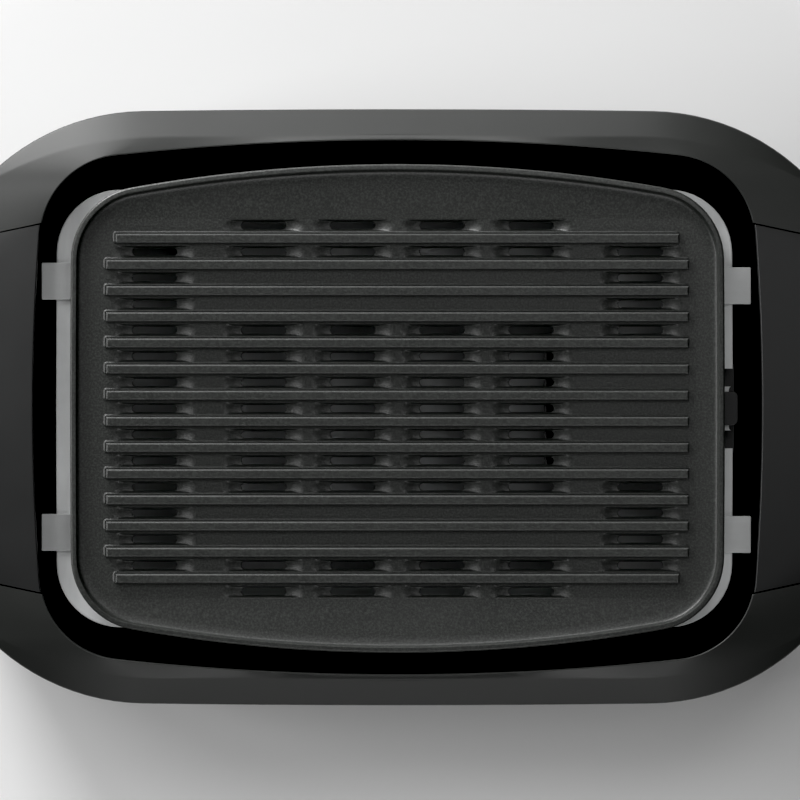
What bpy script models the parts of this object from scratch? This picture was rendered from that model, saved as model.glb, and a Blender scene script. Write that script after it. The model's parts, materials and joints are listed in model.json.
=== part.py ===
"""Indoor electric grill: a ribbed, slotted cast plate with its element, a drip tray on four straps,
and a body guard that carries both and holds the contacts, the control, the appliance inlet, the base
plate and the feet.

The origin is on the standing face under the middle of the body. +X is the long way, towards the
control, and +Z is up.
"""

import math

import bmesh
import bpy

MM = 0.001
CLEAR = 0.3 * MM
OVERRUN = 20 * MM

# Counts of facets
BODY_STEPS = (2, 7, 3)
PLATE_STEPS = (2, 5, 3)
TRAY_STEPS = (1, 5, 2)
RECESS_STEPS = 3
SLOT_END_STEPS = 3
RIB_CORNER_STEPS = 1
BEND_STEPS = 3
ROUND_SIDES = 16
SMALL_SIDES = 8
HEX_SIDES = 6
EDGE_CORNER_STEPS = 2

# Body guard: outline, edges and walls
BODY_HALF_X = 232 * MM
BODY_HALF_Y = 144.2 * MM
BODY_BOW_X = 1600 * MM
BODY_BOW_Y = 9000 * MM
BODY_CORNER = 113 * MM
BODY_WALL = 2.5 * MM
SKIRT_BOTTOM = 3 * MM
SKIRT_DRAFT = 8 * MM
EDGE_TOP = 78 * MM
EDGE_BAND = 4 * MM
EDGE_BOTTOM = EDGE_TOP - EDGE_BAND
EDGE_ROUND = 0.8 * MM
CREASE_INSET_X = 117 * MM
CREASE_INSET_Y = 13.3 * MM
CREASE_FLAT_X = BODY_HALF_X - CREASE_INSET_X
CREASE_HALF_Y = BODY_HALF_Y - CREASE_INSET_Y
CREASE_BOW = 180 * MM
CREASE_SPREAD_SHARE = 1.4
CREASE_RISE = 10 * MM

# Body guard: opening, its lip and the ledge that carries the tray's straps
HANDLE_WIDTH = 55.7 * MM
BAND_WIDTH = 14.7 * MM
OPENING_HALF_X = BODY_HALF_X - HANDLE_WIDTH
OPENING_HALF_Y = BODY_HALF_Y - BAND_WIDTH
OPENING_BOW_X = 1170 * MM
OPENING_BOW_Y = 1285 * MM
OPENING_CORNER = 41 * MM
LIP_RISE = 8 * MM
LIP_ROUND = 1.2 * MM
LEDGE_DROP = 12 * MM
LEDGE_WIDTH = 6 * MM
LIP_TOP = EDGE_TOP + LIP_RISE
LEDGE_TOP = LIP_TOP - LEDGE_DROP
LEDGE_BOTTOM = LEDGE_TOP - BODY_WALL

# Handle covers, let into a window in each end of the guard
SEAM_MARGIN = 40 * MM
SEAM_TAPER = 11.5 * MM
SEAM_INNER_Y = OPENING_HALF_Y - SEAM_MARGIN
SEAM_OUTER_Y = SEAM_INNER_Y - SEAM_TAPER
WINDOW_INNER_DROP = 6 * MM
WINDOW_OUTER_DROP = 2 * MM
WINDOW_INNER_Z = LIP_TOP - WINDOW_INNER_DROP
WINDOW_OUTER_Z = EDGE_BOTTOM - WINDOW_OUTER_DROP
COVER_RECESS = 0.7 * MM
COVER_WALL = 2.5 * MM
COVER_FLANGE = 3 * MM
COVER_FLANGE_THICK = 2 * MM
COVER_LAP = 0.4 * MM
COVER_APRON = 8 * MM

# Finger recess under each handle, and the pocket moulding that walls it
RECESS_REACH = 34 * MM
RECESS_MARGIN = 2 * MM
RECESS_DROP = 12 * MM
RECESS_CORNER = 10 * MM
POCKET_SETBACK = 0.4 * MM
CABLE_HOLE_RADIUS = 6 * MM
RECESS_FLOOR_X = BODY_HALF_X - RECESS_REACH
RECESS_HALF_Y = SEAM_OUTER_Y + RECESS_MARGIN
RECESS_TOP = EDGE_BOTTOM - RECESS_DROP

# Feet, base plate and its screws
FOOT_HEIGHT = 5.7 * MM
FOOT_RADIUS = 10 * MM
FOOT_TOP_RADIUS = 9 * MM
FOOT_CHAMFER = 1 * MM
FOOT_STEM_RADIUS = 3 * MM
FOOT_STEM_HEIGHT = 4 * MM
FOOT_INSET_X = 82 * MM
FOOT_INSET_Y = 54.2 * MM
FOOT_X = BODY_HALF_X - FOOT_INSET_X
FOOT_Y = BODY_HALF_Y - FOOT_INSET_Y
BASE_SHEET = 1.5 * MM
BASE_BOTTOM = FOOT_HEIGHT + CLEAR
BASE_TOP = BASE_BOTTOM + BASE_SHEET
BOSS_RADIUS = 4.5 * MM
BOSS_INSET = 76.3 * MM
BOSS_X = OPENING_HALF_X - BOSS_INSET
SCREW_RADIUS = 1.6 * MM
SCREW_HEAD_RADIUS = 3.4 * MM
SCREW_HEAD_HEIGHT = 1.8 * MM
SCREW_LENGTH = 12 * MM
SCREW_HOLE_SPARE = 2 * MM
VENT_COUNT = 4
VENT_PITCH = 26 * MM
VENT_LENGTH = 46 * MM
VENT_WIDTH = 4.5 * MM
VENT_INSET = 42 * MM
VENT_Y = FOOT_Y - VENT_INSET

# Drip tray
TRAY_MARGIN_X = 9.8 * MM
TRAY_MARGIN_Y = 22.5 * MM
TRAY_HALF_X = OPENING_HALF_X - TRAY_MARGIN_X
TRAY_HALF_Y = OPENING_HALF_Y - TRAY_MARGIN_Y
TRAY_CORNER = 33 * MM
TRAY_SHEET = 1 * MM
TRAY_FLANGE = 17 * MM
TRAY_DRAFT = 8 * MM
TRAY_DEPTH = 32 * MM
TRAY_BEND = 2.5 * MM
TRAY_TOP = LEDGE_TOP
TAB_SETBACK = 3.5 * MM
TAB_CORNER = 0.9 * MM

# Straps that carry the tray on the ledge and the plate on the tray
STRAP_INSET = 46 * MM
STRAP_Y = TRAY_HALF_Y - STRAP_INSET
STRAP_WIDTH = 18 * MM
STRAP_SHEET = 1.5 * MM
STRAP_TAIL = 8 * MM
STRAP_END_GAP = 0.8 * MM
STRAP_CORNER = 2 * MM
STRAP_BOTTOM = LEDGE_TOP + CLEAR
STRAP_TOP = STRAP_BOTTOM + STRAP_SHEET

# Grill plate
PLATE_MARGIN_X = 17.5 * MM
PLATE_MARGIN_Y = 10.9 * MM
PLATE_HALF_X = OPENING_HALF_X - PLATE_MARGIN_X
PLATE_HALF_Y = OPENING_HALF_Y - PLATE_MARGIN_Y
PLATE_BOW_X = 2400 * MM
PLATE_BOW_Y = 740 * MM
PLATE_CORNER = 36 * MM
PLATE_THICK = 4 * MM
PLATE_FOOT_HEIGHT = 6.9 * MM
PLATE_FOOT_RADIUS = 4.5 * MM
PLATE_FOOT_INSET = 12.8 * MM
PLATE_FOOT_X = PLATE_HALF_X - PLATE_FOOT_INSET
STRAP_INNER_X = PLATE_FOOT_X - STRAP_TAIL
PLATE_SKIRT = 3 * MM
PLATE_SKIRT_WIDTH = 5.5 * MM
PLATE_DRAFT = 1 * MM
RIM_HEIGHT = 5 * MM
RIM_ROUND = 1.4 * MM
RIM_WIDTH = 4.6 * MM
GROOVE_WIDTH = 2 * MM
GROOVE_DEPTH = 2.6 * MM
GROOVE_SLOPE = 0.6 * MM
FLOOR_EDGE_RISE = 0.8 * MM
FLAT_STEP = 1.6 * MM
RIBBED_INSET_Y = 26 * MM
RIBBED_HALF_Y = PLATE_HALF_Y - RIBBED_INSET_Y
RIBBED_SLOPE = 0.8 * MM
PLATE_SEAT = STRAP_TOP + CLEAR
PLATE_UNDER = PLATE_SEAT + PLATE_FOOT_HEIGHT
PLATE_FLOOR = PLATE_UNDER + PLATE_THICK
PLATE_RIM_TOP = PLATE_FLOOR + RIM_HEIGHT
PLATE_RIM_BOTTOM = PLATE_UNDER - PLATE_SKIRT
PLATE_FLAT = PLATE_FLOOR + FLAT_STEP

# Ribs, and the dished drain slots between them
RIB_COUNT = 14
RIB_INSET_X = 17.2 * MM
RIB_INSET_Y = 36.05 * MM
END_RIB_SHORTER = 4.6 * MM
RIB_WIDTH = 4.8 * MM
RIB_TOP_WIDTH = 3.6 * MM
RIB_HEIGHT = 3.5 * MM
RIB_CROWN = 0.6 * MM
RIB_ROOT = 0.5 * MM
RIB_FLARE = 0.8 * MM
RIB_FLARE_HEIGHT = 0.7 * MM
RIB_CORNER = 1.4 * MM
RIB_DRAFT_SHARE = 0.33
RIB_HALF_X = PLATE_HALF_X - RIB_INSET_X
END_RIB_HALF_X = RIB_HALF_X - END_RIB_SHORTER
RIB_PITCH = 2 * (PLATE_HALF_Y - RIB_INSET_Y) / (RIB_COUNT - 1)
SLOT_INSET = 23.6 * MM
SLOT_MIDDLE_SHARE = 0.551
SLOT_INNER_SHARE = 0.184
SLOT_OUTER_X = RIB_HALF_X - SLOT_INSET
SLOT_MIDDLE_X = SLOT_OUTER_X * SLOT_MIDDLE_SHARE
SLOT_INNER_X = SLOT_OUTER_X * SLOT_INNER_SHARE
SLOT_WIDTH = 3.9 * MM
SLOT_SHARE = 0.525
DISH_GAP = MM
DISH_WIDTH = 6.1 * MM
DISH_DEPTH = 2.4 * MM
DISH_LENGTH = 2 * SLOT_INNER_X - DISH_GAP
SLOT_LENGTH = DISH_LENGTH * SLOT_SHARE
SLOT_X = {
    1: -SLOT_OUTER_X,
    2: -SLOT_MIDDLE_X,
    3: -SLOT_INNER_X,
    4: SLOT_INNER_X,
    5: SLOT_MIDDLE_X,
    6: SLOT_OUTER_X,
}
SLOT_ROWS = {
    7: (2, 3, 4, 5),
    6: (1, 2, 3, 4, 5, 6),
    5: (1, 6),
    4: (1, 6),
    3: (1, 2, 3, 4, 5, 6),
    2: (1, 2, 3, 4, 5),
    1: (1, 2, 3, 4, 5),
    0: (1, 2, 3, 4, 5),
}

# Heating element, pressed into a channelled rail under the plate
ELEMENT_RADIUS = 3.3 * MM
ELEMENT_DROP = 5 * MM
ELEMENT_SIDES = 8
ELEMENT_ROW_SHARE = 4.5
ELEMENT_HALF_X = (SLOT_MIDDLE_X + SLOT_OUTER_X) / 2
ELEMENT_HALF_Y = ELEMENT_ROW_SHARE * RIB_PITCH
ELEMENT_LEG_Y = 15 * MM
ELEMENT_BEND = 12 * MM
RAIL_HALF_WIDTH = 5.6 * MM
RAIL_DRAFT = 0.6 * MM
RAIL_ROOT = 1 * MM
RAIL_WRAP = 1.5 * MM
ELEMENT_Z = PLATE_UNDER - ELEMENT_DROP

# Terminal cover, block and pins under the plate
SHROUD_LENGTH = 71 * MM
SHROUD_INSET = 16.3 * MM
SHROUD_OUTER_X = PLATE_HALF_X - SHROUD_INSET
SHROUD_INNER_X = SHROUD_OUTER_X - SHROUD_LENGTH
SHROUD_HALF_Y = 29 * MM
SHROUD_DEPTH = 18 * MM
SHROUD_SHEET = 1 * MM
SHROUD_CORNER = 4 * MM
SHROUD_SCREW_INSET = 11 * MM
SHROUD_BOSS_RADIUS = 4 * MM
SHROUD_SCREW_LENGTH = 10 * MM
SHROUD_TOP = PLATE_UNDER - CLEAR
SHROUD_BOTTOM = SHROUD_TOP - SHROUD_DEPTH
CUTOUT_RADIUS = 8 * MM
CUTOUT_HEIGHT = 7 * MM
TERMINAL_THICK = 5 * MM
TERMINAL_INSET = 1.3 * MM
TERMINAL_MARGIN = 5 * MM
TERMINAL_OUTER_X = PLATE_HALF_X - TERMINAL_INSET
TERMINAL_CORNER = 2 * MM
NOSE_REACH = 7 * MM
NOSE_HALF_Y = 8.2 * MM
NOSE_CORNER = 2.5 * MM
TERMINAL_TOP = PLATE_RIM_BOTTOM - CLEAR
TERMINAL_BOTTOM = TERMINAL_TOP - TERMINAL_THICK
PIN_RADIUS = 2 * MM
PIN_INSET = 3 * MM
PIN_X = TERMINAL_OUTER_X - PIN_INSET
PIN_Y = ELEMENT_LEG_Y
TERMINAL_HALF_Y = PIN_Y + TERMINAL_MARGIN
PIN_LENGTH = 22 * MM
PIN_SEAT = 3 * MM
NOTCH_HALF_WIDTH = 4.4 * MM
NOTCH_SPARE = 2.5 * MM
NOTCH_INNER_X = PIN_X - NOTCH_SPARE

# Contact block in the base and its sleeves
BLOCK_INWARD = 4.5 * MM
BLOCK_OUTWARD = 10.5 * MM
BLOCK_MARGIN = 7 * MM
BLOCK_INNER_X = PIN_X - BLOCK_INWARD
BLOCK_OUTER_X = PIN_X + BLOCK_OUTWARD
BLOCK_HALF_Y = PIN_Y + BLOCK_MARGIN
BLOCK_CORNER = 2 * MM
BLOCK_GAP = 11 * MM
BLOCK_WALL = 3 * MM
BLOCK_HEAD = 16 * MM
BLOCK_BOTTOM = BASE_TOP + CLEAR
BLOCK_TOP = TRAY_TOP - BLOCK_GAP
SLEEVE_LENGTH = 10 * MM
SLEEVE_WALL = 1.2 * MM

# Control housing in the right recess
HOUSING_HALF_Y = 40 * MM
HOUSING_BOTTOM = 8 * MM
HOUSING_HEADROOM = 4 * MM
HOUSING_DEPTH = 15.5 * MM
HOUSING_WALL = 2.2 * MM
HOUSING_CORNER = 7 * MM
HOUSING_ROUND = 1.5 * MM
HOUSING_BACK_X = RECESS_FLOOR_X + CLEAR
HOUSING_FRONT_X = HOUSING_BACK_X + HOUSING_DEPTH
HOUSING_TOP = RECESS_TOP - HOUSING_HEADROOM
CONTROL_Z = 32 * MM

# Heat regulator, its nut, bezel, dial and spindle
DIAL_Y = 16 * MM
REGULATOR_HALF_Y = 12 * MM
REGULATOR_HALF_Z = 14 * MM
REGULATOR_DEPTH = 11.5 * MM
REGULATOR_CORNER = 1.5 * MM
BUSH_RADIUS = 4.6 * MM
BUSH_REACH = 3.4 * MM
BORE_DEPTH = 12 * MM
NUT_RADIUS = 7.5 * MM
NUT_THICK = 2.5 * MM
BEZEL_INNER = 9 * MM
BEZEL_OUTER = 19.2 * MM
BEZEL_THICK = 1.3 * MM
DIAL_RADIUS = 17 * MM
DIAL_FRONT_RADIUS = 15 * MM
DIAL_THICK = 9 * MM
DIAL_ROUND = 1.2 * MM
DIAL_GAP = 0.6 * MM
DIAL_CAVITY_RADIUS = 8.6 * MM
DIAL_HUB_GAP = 0.8 * MM
GRIP_HEIGHT = 4 * MM
GRIP_HALF_WIDTH = 3.2 * MM
GRIP_HALF_LENGTH = 13.5 * MM
GRIP_CORNER = 1.5 * MM
SPINDLE_RADIUS = 3 * MM
SPINDLE_RUNNING = 0.1 * MM
SPINDLE_BACK = 9 * MM
SPINDLE_CAP = 2.5 * MM

# Indicator lamp and lens
LENS_Y = -20 * MM
LENS_Z = 51 * MM
LENS_RADIUS = 2.8 * MM
LENS_FLANGE_RADIUS = 4 * MM
LENS_FLANGE_THICK = 0.8 * MM
LENS_DOME = 1 * MM
LENS_DEPTH = 4 * MM
LAMP_RADIUS = 2 * MM
LAMP_LENGTH = 7 * MM

# Appliance inlet and its pins
INLET_Y = -20 * MM
INLET_HALF_Y = 13.5 * MM
INLET_HALF_Z = 9.5 * MM
INLET_CORNER = 3 * MM
INLET_WALL = 1.6 * MM
INLET_DEPTH = 12.5 * MM
INLET_FLANGE_HALF_Y = 16 * MM
INLET_FLANGE_HALF_Z = 12 * MM
INLET_FLANGE_THICK = 1.6 * MM
BLADE_HALF_Y = 1 * MM
BLADE_HALF_Z = 2 * MM
BLADE_SPACING = 7 * MM
BLADE_OFFSET_Z = 2 * MM
BLADE_TAIL = 1.2 * MM
BLADE_SETBACK = 5 * MM

# Finishes: colour, roughness and metallic value
FINISHES = {
    "guard_plastic": ((0.055, 0.057, 0.055), 0.42, 0.0),
    "handle_plastic": ((0.035, 0.035, 0.037), 0.36, 0.0),
    "cast_plate": ((0.035, 0.036, 0.038), 0.5, 0.2),
    "bright_steel": ((0.62, 0.62, 0.63), 0.28, 1.0),
    "plated_steel": ((0.42, 0.43, 0.45), 0.35, 1.0),
    "element_sheath": ((0.2, 0.2, 0.19), 0.45, 0.8),
    "black_resin": ((0.02, 0.02, 0.02), 0.5, 0.0),
    "base_sheet": ((0.25, 0.26, 0.27), 0.45, 0.9),
    "foot_rubber": ((0.015, 0.015, 0.015), 0.8, 0.0),
    "contact_brass": ((0.7, 0.5, 0.2), 0.3, 1.0),
    "lens_red": ((0.55, 0.03, 0.02), 0.15, 0.0),
    "lamp_glass": ((0.8, 0.75, 0.7), 0.1, 0.0),
}


class Outline:
    """A rectangle with bowed sides and round corners, made of arcs that meet smoothly."""

    def __init__(self, half_x, half_y, bow_x, bow_y, corner, steps):
        self.half_x = half_x
        self.half_y = half_y
        self.bow_x = bow_x
        self.bow_y = bow_y
        self.corner = corner
        self.steps = steps

    def inset(self, by):
        sizes = (self.half_x, self.half_y, self.bow_x, self.bow_y, self.corner)
        return Outline(*(size - by for size in sizes), self.steps)

    def corner_centre(self):
        """Where the corner arc's centre lies: inside both side arcs by the corner's radius."""
        side = (self.half_x - self.bow_x, 0.0)
        top = (0.0, self.half_y - self.bow_y)
        side_reach = self.bow_x - self.corner
        top_reach = self.bow_y - self.corner
        apart_x = top[0] - side[0]
        apart_y = top[1] - side[1]
        apart = math.hypot(apart_x, apart_y)
        along = (side_reach**2 - top_reach**2 + apart**2) / (2 * apart)
        across = math.sqrt(side_reach**2 - along**2)
        foot_x = side[0] + along * apart_x / apart
        foot_y = side[1] + along * apart_y / apart
        first = (foot_x - across * apart_y / apart, foot_y + across * apart_x / apart)
        second = (foot_x + across * apart_y / apart, foot_y - across * apart_x / apart)
        return max(first, second)

    def quarter(self):
        """Points from the middle of the +X side to the middle of the +Y side."""
        side_x = self.half_x - self.bow_x
        top_y = self.half_y - self.bow_y
        corner_x, corner_y = self.corner_centre()
        side_end = math.atan2(corner_y, corner_x - side_x)
        top_start = math.atan2(corner_y - top_y, corner_x)
        side_steps, corner_steps, top_steps = self.steps
        points = []
        for step in range(side_steps):
            angle = side_end * step / side_steps
            points.append((side_x + self.bow_x * math.cos(angle), self.bow_x * math.sin(angle)))
        for step in range(corner_steps):
            angle = side_end + (top_start - side_end) * step / corner_steps
            points.append(
                (corner_x + self.corner * math.cos(angle), corner_y + self.corner * math.sin(angle))
            )
        for step in range(top_steps + 1):
            angle = top_start + (math.pi / 2 - top_start) * step / top_steps
            points.append((self.bow_y * math.cos(angle), top_y + self.bow_y * math.sin(angle)))
        points[-1] = (0.0, self.half_y)
        return points

    def points(self):
        """The whole outline, anticlockwise from the middle of the +X side."""
        first = self.quarter()
        second = [(-x, y) for x, y in reversed(first[:-1])]
        half = first + second
        return half + [(x, -y) for x, y in reversed(half[1:-1])]

    def side_x(self, y):
        """How far out the +X side lies at a place along it."""
        return self.half_x - self.bow_x + math.sqrt(self.bow_x**2 - y**2)


BODY = Outline(BODY_HALF_X, BODY_HALF_Y, BODY_BOW_X, BODY_BOW_Y, BODY_CORNER, BODY_STEPS)
OPENING = Outline(
    OPENING_HALF_X, OPENING_HALF_Y, OPENING_BOW_X, OPENING_BOW_Y, OPENING_CORNER, BODY_STEPS
)
TRAY = Outline(TRAY_HALF_X, TRAY_HALF_Y, OPENING_BOW_X, OPENING_BOW_Y, TRAY_CORNER, TRAY_STEPS)
PLATE = Outline(PLATE_HALF_X, PLATE_HALF_Y, PLATE_BOW_X, PLATE_BOW_Y, PLATE_CORNER, PLATE_STEPS)


# Scene, collections and finishes


def clear_scene():
    for obj in list(bpy.data.objects):
        bpy.data.objects.remove(obj, do_unlink=True)


def make_collection(name):
    collection = bpy.data.collections.new(name)
    bpy.context.scene.collection.children.link(collection)
    return collection


def make_finish(name):
    colour, roughness, metallic = FINISHES[name]
    material = bpy.data.materials.new(name)
    material.use_nodes = True
    shader = material.node_tree.nodes["Principled BSDF"]
    shader.inputs["Base Color"].default_value = (*colour, 1.0)
    shader.inputs["Roughness"].default_value = roughness
    shader.inputs["Metallic"].default_value = metallic
    return material


clear_scene()
PARTS = make_collection("indoor_electric_grill")
CUTTERS = make_collection("cutters")
MATERIALS = {name: make_finish(name) for name in FINISHES}


# Shapes


def new_object(name, mesh, finish=None):
    """An object for a part when it has a finish, or else for a cutter."""
    obj = bpy.data.objects.new(name, mesh)
    if finish:
        PARTS.objects.link(obj)
        mesh.materials.clear()
        mesh.materials.append(MATERIALS[finish])
        mesh.shade_smooth()
        mesh.set_sharp_from_angle(angle=math.radians(32))
    else:
        CUTTERS.objects.link(obj)
        obj.hide_render = True
        obj.display_type = "WIRE"
    return obj


def flat_ring(points, z):
    return [(x, y, z) for x, y in points]


def add_loft(shape, rings, ring_shaped=False):
    """Joins rings of equal counts, with a cap at each end, or end to end for a ring-shaped solid."""
    rows = [[shape.verts.new(point) for point in ring] for ring in rings]
    spans = list(zip(rows, rows[1:]))
    if ring_shaped:
        spans.append((rows[-1], rows[0]))
    else:
        shape.faces.new(rows[0])
        shape.faces.new(rows[-1])
    for lower, upper in spans:
        for here in range(len(lower)):
            after = (here + 1) % len(lower)
            shape.faces.new((lower[here], lower[after], upper[after], upper[here]))


def finish_mesh(name, shape):
    bmesh.ops.recalc_face_normals(shape, faces=shape.faces)
    mesh = bpy.data.meshes.new(name)
    shape.to_mesh(mesh)
    shape.free()
    return mesh


def loft(name, rings, finish=None, ring_shaped=False):
    shape = bmesh.new()
    add_loft(shape, rings, ring_shaped)
    return new_object(name, finish_mesh(name, shape), finish)


def lofts(name, solids, finish=None):
    """Several separate lofts in one object, for a cutter or a group to be joined."""
    shape = bmesh.new()
    for rings in solids:
        add_loft(shape, rings)
    return new_object(name, finish_mesh(name, shape), finish)


def rounded_points(half_x, half_y, corner, centre_x=0.0, centre_y=0.0, steps=EDGE_CORNER_STEPS):
    """A rectangle with round corners, anticlockwise."""
    points = []
    for turn, (side_x, side_y) in enumerate(((1, 1), (-1, 1), (-1, -1), (1, -1))):
        for step in range(steps + 1):
            angle = math.pi / 2 * (turn + step / steps)
            points.append(
                (
                    centre_x + side_x * (half_x - corner) + corner * math.cos(angle),
                    centre_y + side_y * (half_y - corner) + corner * math.sin(angle),
                )
            )
    return points


def upright_block(name, low, high, corner, finish=None):
    """A block between two corners, with its upright edges rounded."""
    outline = rounded_points(
        (high[0] - low[0]) / 2,
        (high[1] - low[1]) / 2,
        corner,
        (high[0] + low[0]) / 2,
        (high[1] + low[1]) / 2,
    )
    return loft(name, [flat_ring(outline, low[2]), flat_ring(outline, high[2])], finish)


def lengthwise_ring(x, half_y, half_z, corner, centre_y, centre_z):
    """A rounded rectangle across the X axis."""
    return [(x, y, z) for y, z in rounded_points(half_y, half_z, corner, centre_y, centre_z)]


def lengthwise_block(name, low_x, high_x, half_y, half_z, corner, centre_y, centre_z, finish=None):
    rings = [
        lengthwise_ring(x, half_y, half_z, corner, centre_y, centre_z) for x in (low_x, high_x)
    ]
    return loft(name, rings, finish)


def cylinder(name, radius, low, high, x, y, finish=None, sides=ROUND_SIDES):
    """An upright cylinder."""
    shape = bmesh.new()
    bmesh.ops.create_cone(
        shape, cap_ends=True, segments=sides, radius1=radius, radius2=radius, depth=high - low
    )
    bmesh.ops.translate(shape, verts=shape.verts, vec=(x, y, (low + high) / 2))
    return new_object(name, finish_mesh(name, shape), finish)


def lengthwise_cylinder(name, radius, low_x, high_x, y, z, finish=None, sides=ROUND_SIDES):
    """A cylinder along the X axis."""
    profile = [(radius, low_x), (radius, high_x)]
    return turned_lengthwise(name, profile, y, z, finish, sides)


def turned(name, profile, x, y, finish=None, sides=ROUND_SIDES):
    """A solid turned about an upright axis from rings given as radius and height."""
    rings = []
    for radius, height in profile:
        angles = [2 * math.pi * side / sides for side in range(sides)]
        rings.append([(x + radius * math.cos(a), y + radius * math.sin(a), height) for a in angles])
    return loft(name, rings, finish)


def turned_lengthwise(name, profile, y, z, finish=None, sides=ROUND_SIDES):
    """A solid turned about an axis along X from rings given as radius and place."""
    rings = []
    for radius, place in profile:
        angles = [2 * math.pi * side / sides for side in range(sides)]
        rings.append([(place, y + radius * math.cos(a), z + radius * math.sin(a)) for a in angles])
    return loft(name, rings, finish)


def combine(target, tool, operation):
    """Adds an exact Boolean modifier. A tool that was modified itself keeps its own modifiers."""
    modifier = target.modifiers.new(operation.lower(), "BOOLEAN")
    modifier.operation = operation
    modifier.object = tool
    modifier.solver = "EXACT"


def cut(target, *tools):
    for tool in tools:
        combine(target, tool, "DIFFERENCE")


def join(target, *tools):
    for tool in tools:
        combine(target, tool, "UNION")


def keep_inside(target, tool):
    combine(target, tool, "INTERSECT")


# Body guard


def wall_inset(z):
    """How far the guard's drafted outer wall lies inside its outline at a height."""
    return SKIRT_DRAFT * (EDGE_BOTTOM - z) / (EDGE_BOTTOM - SKIRT_BOTTOM)


def crease_y(x):
    """Where the crease between the band's two facets lies: flat in the middle, then an arc."""
    past = min(CREASE_BOW, max(0.0, abs(x) - CREASE_FLAT_X))
    return CREASE_HALF_Y - CREASE_BOW + math.sqrt(CREASE_BOW**2 - past**2)


def crease_ring(depth):
    """The crease at a depth under the surface. It runs into the outer edge at the corners."""
    slope = CREASE_RISE / (BODY_HALF_Y - CREASE_HALF_Y)
    ring = []
    for x, y in BODY.inset(2 * EDGE_ROUND + depth).points():
        held = min(abs(y), crease_y(x) + CREASE_SPREAD_SHARE * depth)
        ring.append((x, math.copysign(held, y), EDGE_TOP - depth + slope * (abs(y) - held)))
    return ring


def band_rings(depth):
    """The guard's band at a depth under its surface, from its outer edge to the opening's lip."""
    return [
        flat_ring(BODY.inset(depth).points(), EDGE_BOTTOM - depth / 2),
        flat_ring(BODY.inset(EDGE_ROUND + depth).points(), EDGE_TOP - EDGE_ROUND - depth),
        crease_ring(depth),
        flat_ring(OPENING.inset(-LIP_ROUND - depth).points(), LIP_TOP - depth),
        flat_ring(OPENING.inset(-depth).points(), LIP_TOP - LIP_ROUND - depth),
    ]


def apron_rings(depth):
    """The band's rings, carried down both its sides."""
    low = EDGE_BOTTOM - COVER_APRON
    outer = flat_ring(BODY.inset(wall_inset(low) + depth).points(), low)
    inner = flat_ring(OPENING.inset(-depth).points(), LIP_TOP - LIP_ROUND - COVER_APRON)
    return [outer] + band_rings(depth) + [inner]


def recess_block(name, side, grown, finish=None):
    """The space of a finger recess, or with its walls when it is grown."""
    low_x = RECESS_FLOOR_X - grown
    half_y = RECESS_HALF_Y + grown
    far_x = BODY_HALF_X + OVERRUN
    middle_x = (low_x + far_x) / 2
    outline = rounded_points(
        (far_x - low_x) / 2, half_y, RECESS_CORNER + grown, side * middle_x, 0.0, RECESS_STEPS
    )
    rings = [flat_ring(outline, -OVERRUN), flat_ring(outline, RECESS_TOP + grown)]
    return loft(name, rings, finish)


def seam_y(x):
    """Where a handle cover's parting line lies."""
    across = (x - OPENING_HALF_X) / (BODY_HALF_X - OPENING_HALF_X)
    return SEAM_INNER_Y + (SEAM_OUTER_Y - SEAM_INNER_Y) * across


def window_floor(x):
    """How far down a handle cover's window reaches."""
    across = (x - OPENING_HALF_X) / (BODY_HALF_X - OPENING_HALF_X)
    return WINDOW_INNER_Z + (WINDOW_OUTER_Z - WINDOW_INNER_Z) * across


def window_block(name, side, spread, lift):
    """The space of a handle cover's window, spread sideways and with its floor lifted."""
    near = OPENING_HALF_X - OVERRUN
    far = BODY_HALF_X + OVERRUN
    plan = [(near, -1), (far, -1), (far, 1), (near, 1)]
    low = [(side * x, way * (seam_y(x) + spread), window_floor(x) + lift) for x, way in plan]
    high = [(x, y, LIP_TOP + OVERRUN) for x, y, z in low]
    return loft(name, [low, high])


def boss_places():
    """Where the guard's screw bosses hang under its ledge."""
    ledge_middle = (LEDGE_WIDTH - BODY_WALL) / 2
    boss_y = OPENING_HALF_Y - ledge_middle
    boss_x = OPENING_HALF_X - ledge_middle
    bowed_y = boss_y - BOSS_X**2 / (2 * OPENING_BOW_Y)
    corners = [(sx * BOSS_X, sy * bowed_y) for sx in (-1, 1) for sy in (-1, 1)]
    return corners + [(-boss_x, 0.0), (boss_x, 0.0)]


def make_guard():
    outer_foot = flat_ring(BODY.inset(SKIRT_DRAFT).points(), SKIRT_BOTTOM)
    inner_foot = flat_ring(BODY.inset(SKIRT_DRAFT + BODY_WALL).points(), SKIRT_BOTTOM)
    ledge = [
        flat_ring(OPENING.points(), LEDGE_TOP),
        flat_ring(OPENING.inset(LEDGE_WIDTH).points(), LEDGE_TOP),
        flat_ring(OPENING.inset(LEDGE_WIDTH).points(), LEDGE_BOTTOM),
        flat_ring(OPENING.inset(-BODY_WALL).points(), LEDGE_BOTTOM),
    ]
    rings = [outer_foot] + band_rings(0.0) + ledge + band_rings(BODY_WALL)[::-1] + [inner_foot]
    guard = loft("guard_shell", rings, "guard_plastic", ring_shaped=True)

    for side, word in ((-1, "left"), (1, "right")):
        cut(guard, recess_block(f"{word}_pocket_room", side, BODY_WALL + CLEAR))
        cut(guard, window_block(f"{word}_window", side, 0.0, 0.0))

    for number, (x, y) in enumerate(boss_places(), 1):
        boss = cylinder(
            f"screw_boss_{number}",
            BOSS_RADIUS,
            BASE_TOP + CLEAR,
            LEDGE_BOTTOM + BODY_WALL / 2,
            x,
            y,
            sides=SMALL_SIDES,
        )
        join(guard, boss)
        pilot = cylinder(
            f"screw_pilot_{number}",
            SCREW_RADIUS + CLEAR,
            SKIRT_BOTTOM,
            BASE_TOP + SCREW_LENGTH + SCREW_HOLE_SPARE,
            x,
            y,
            sides=SMALL_SIDES,
        )
        cut(guard, pilot)


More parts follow.
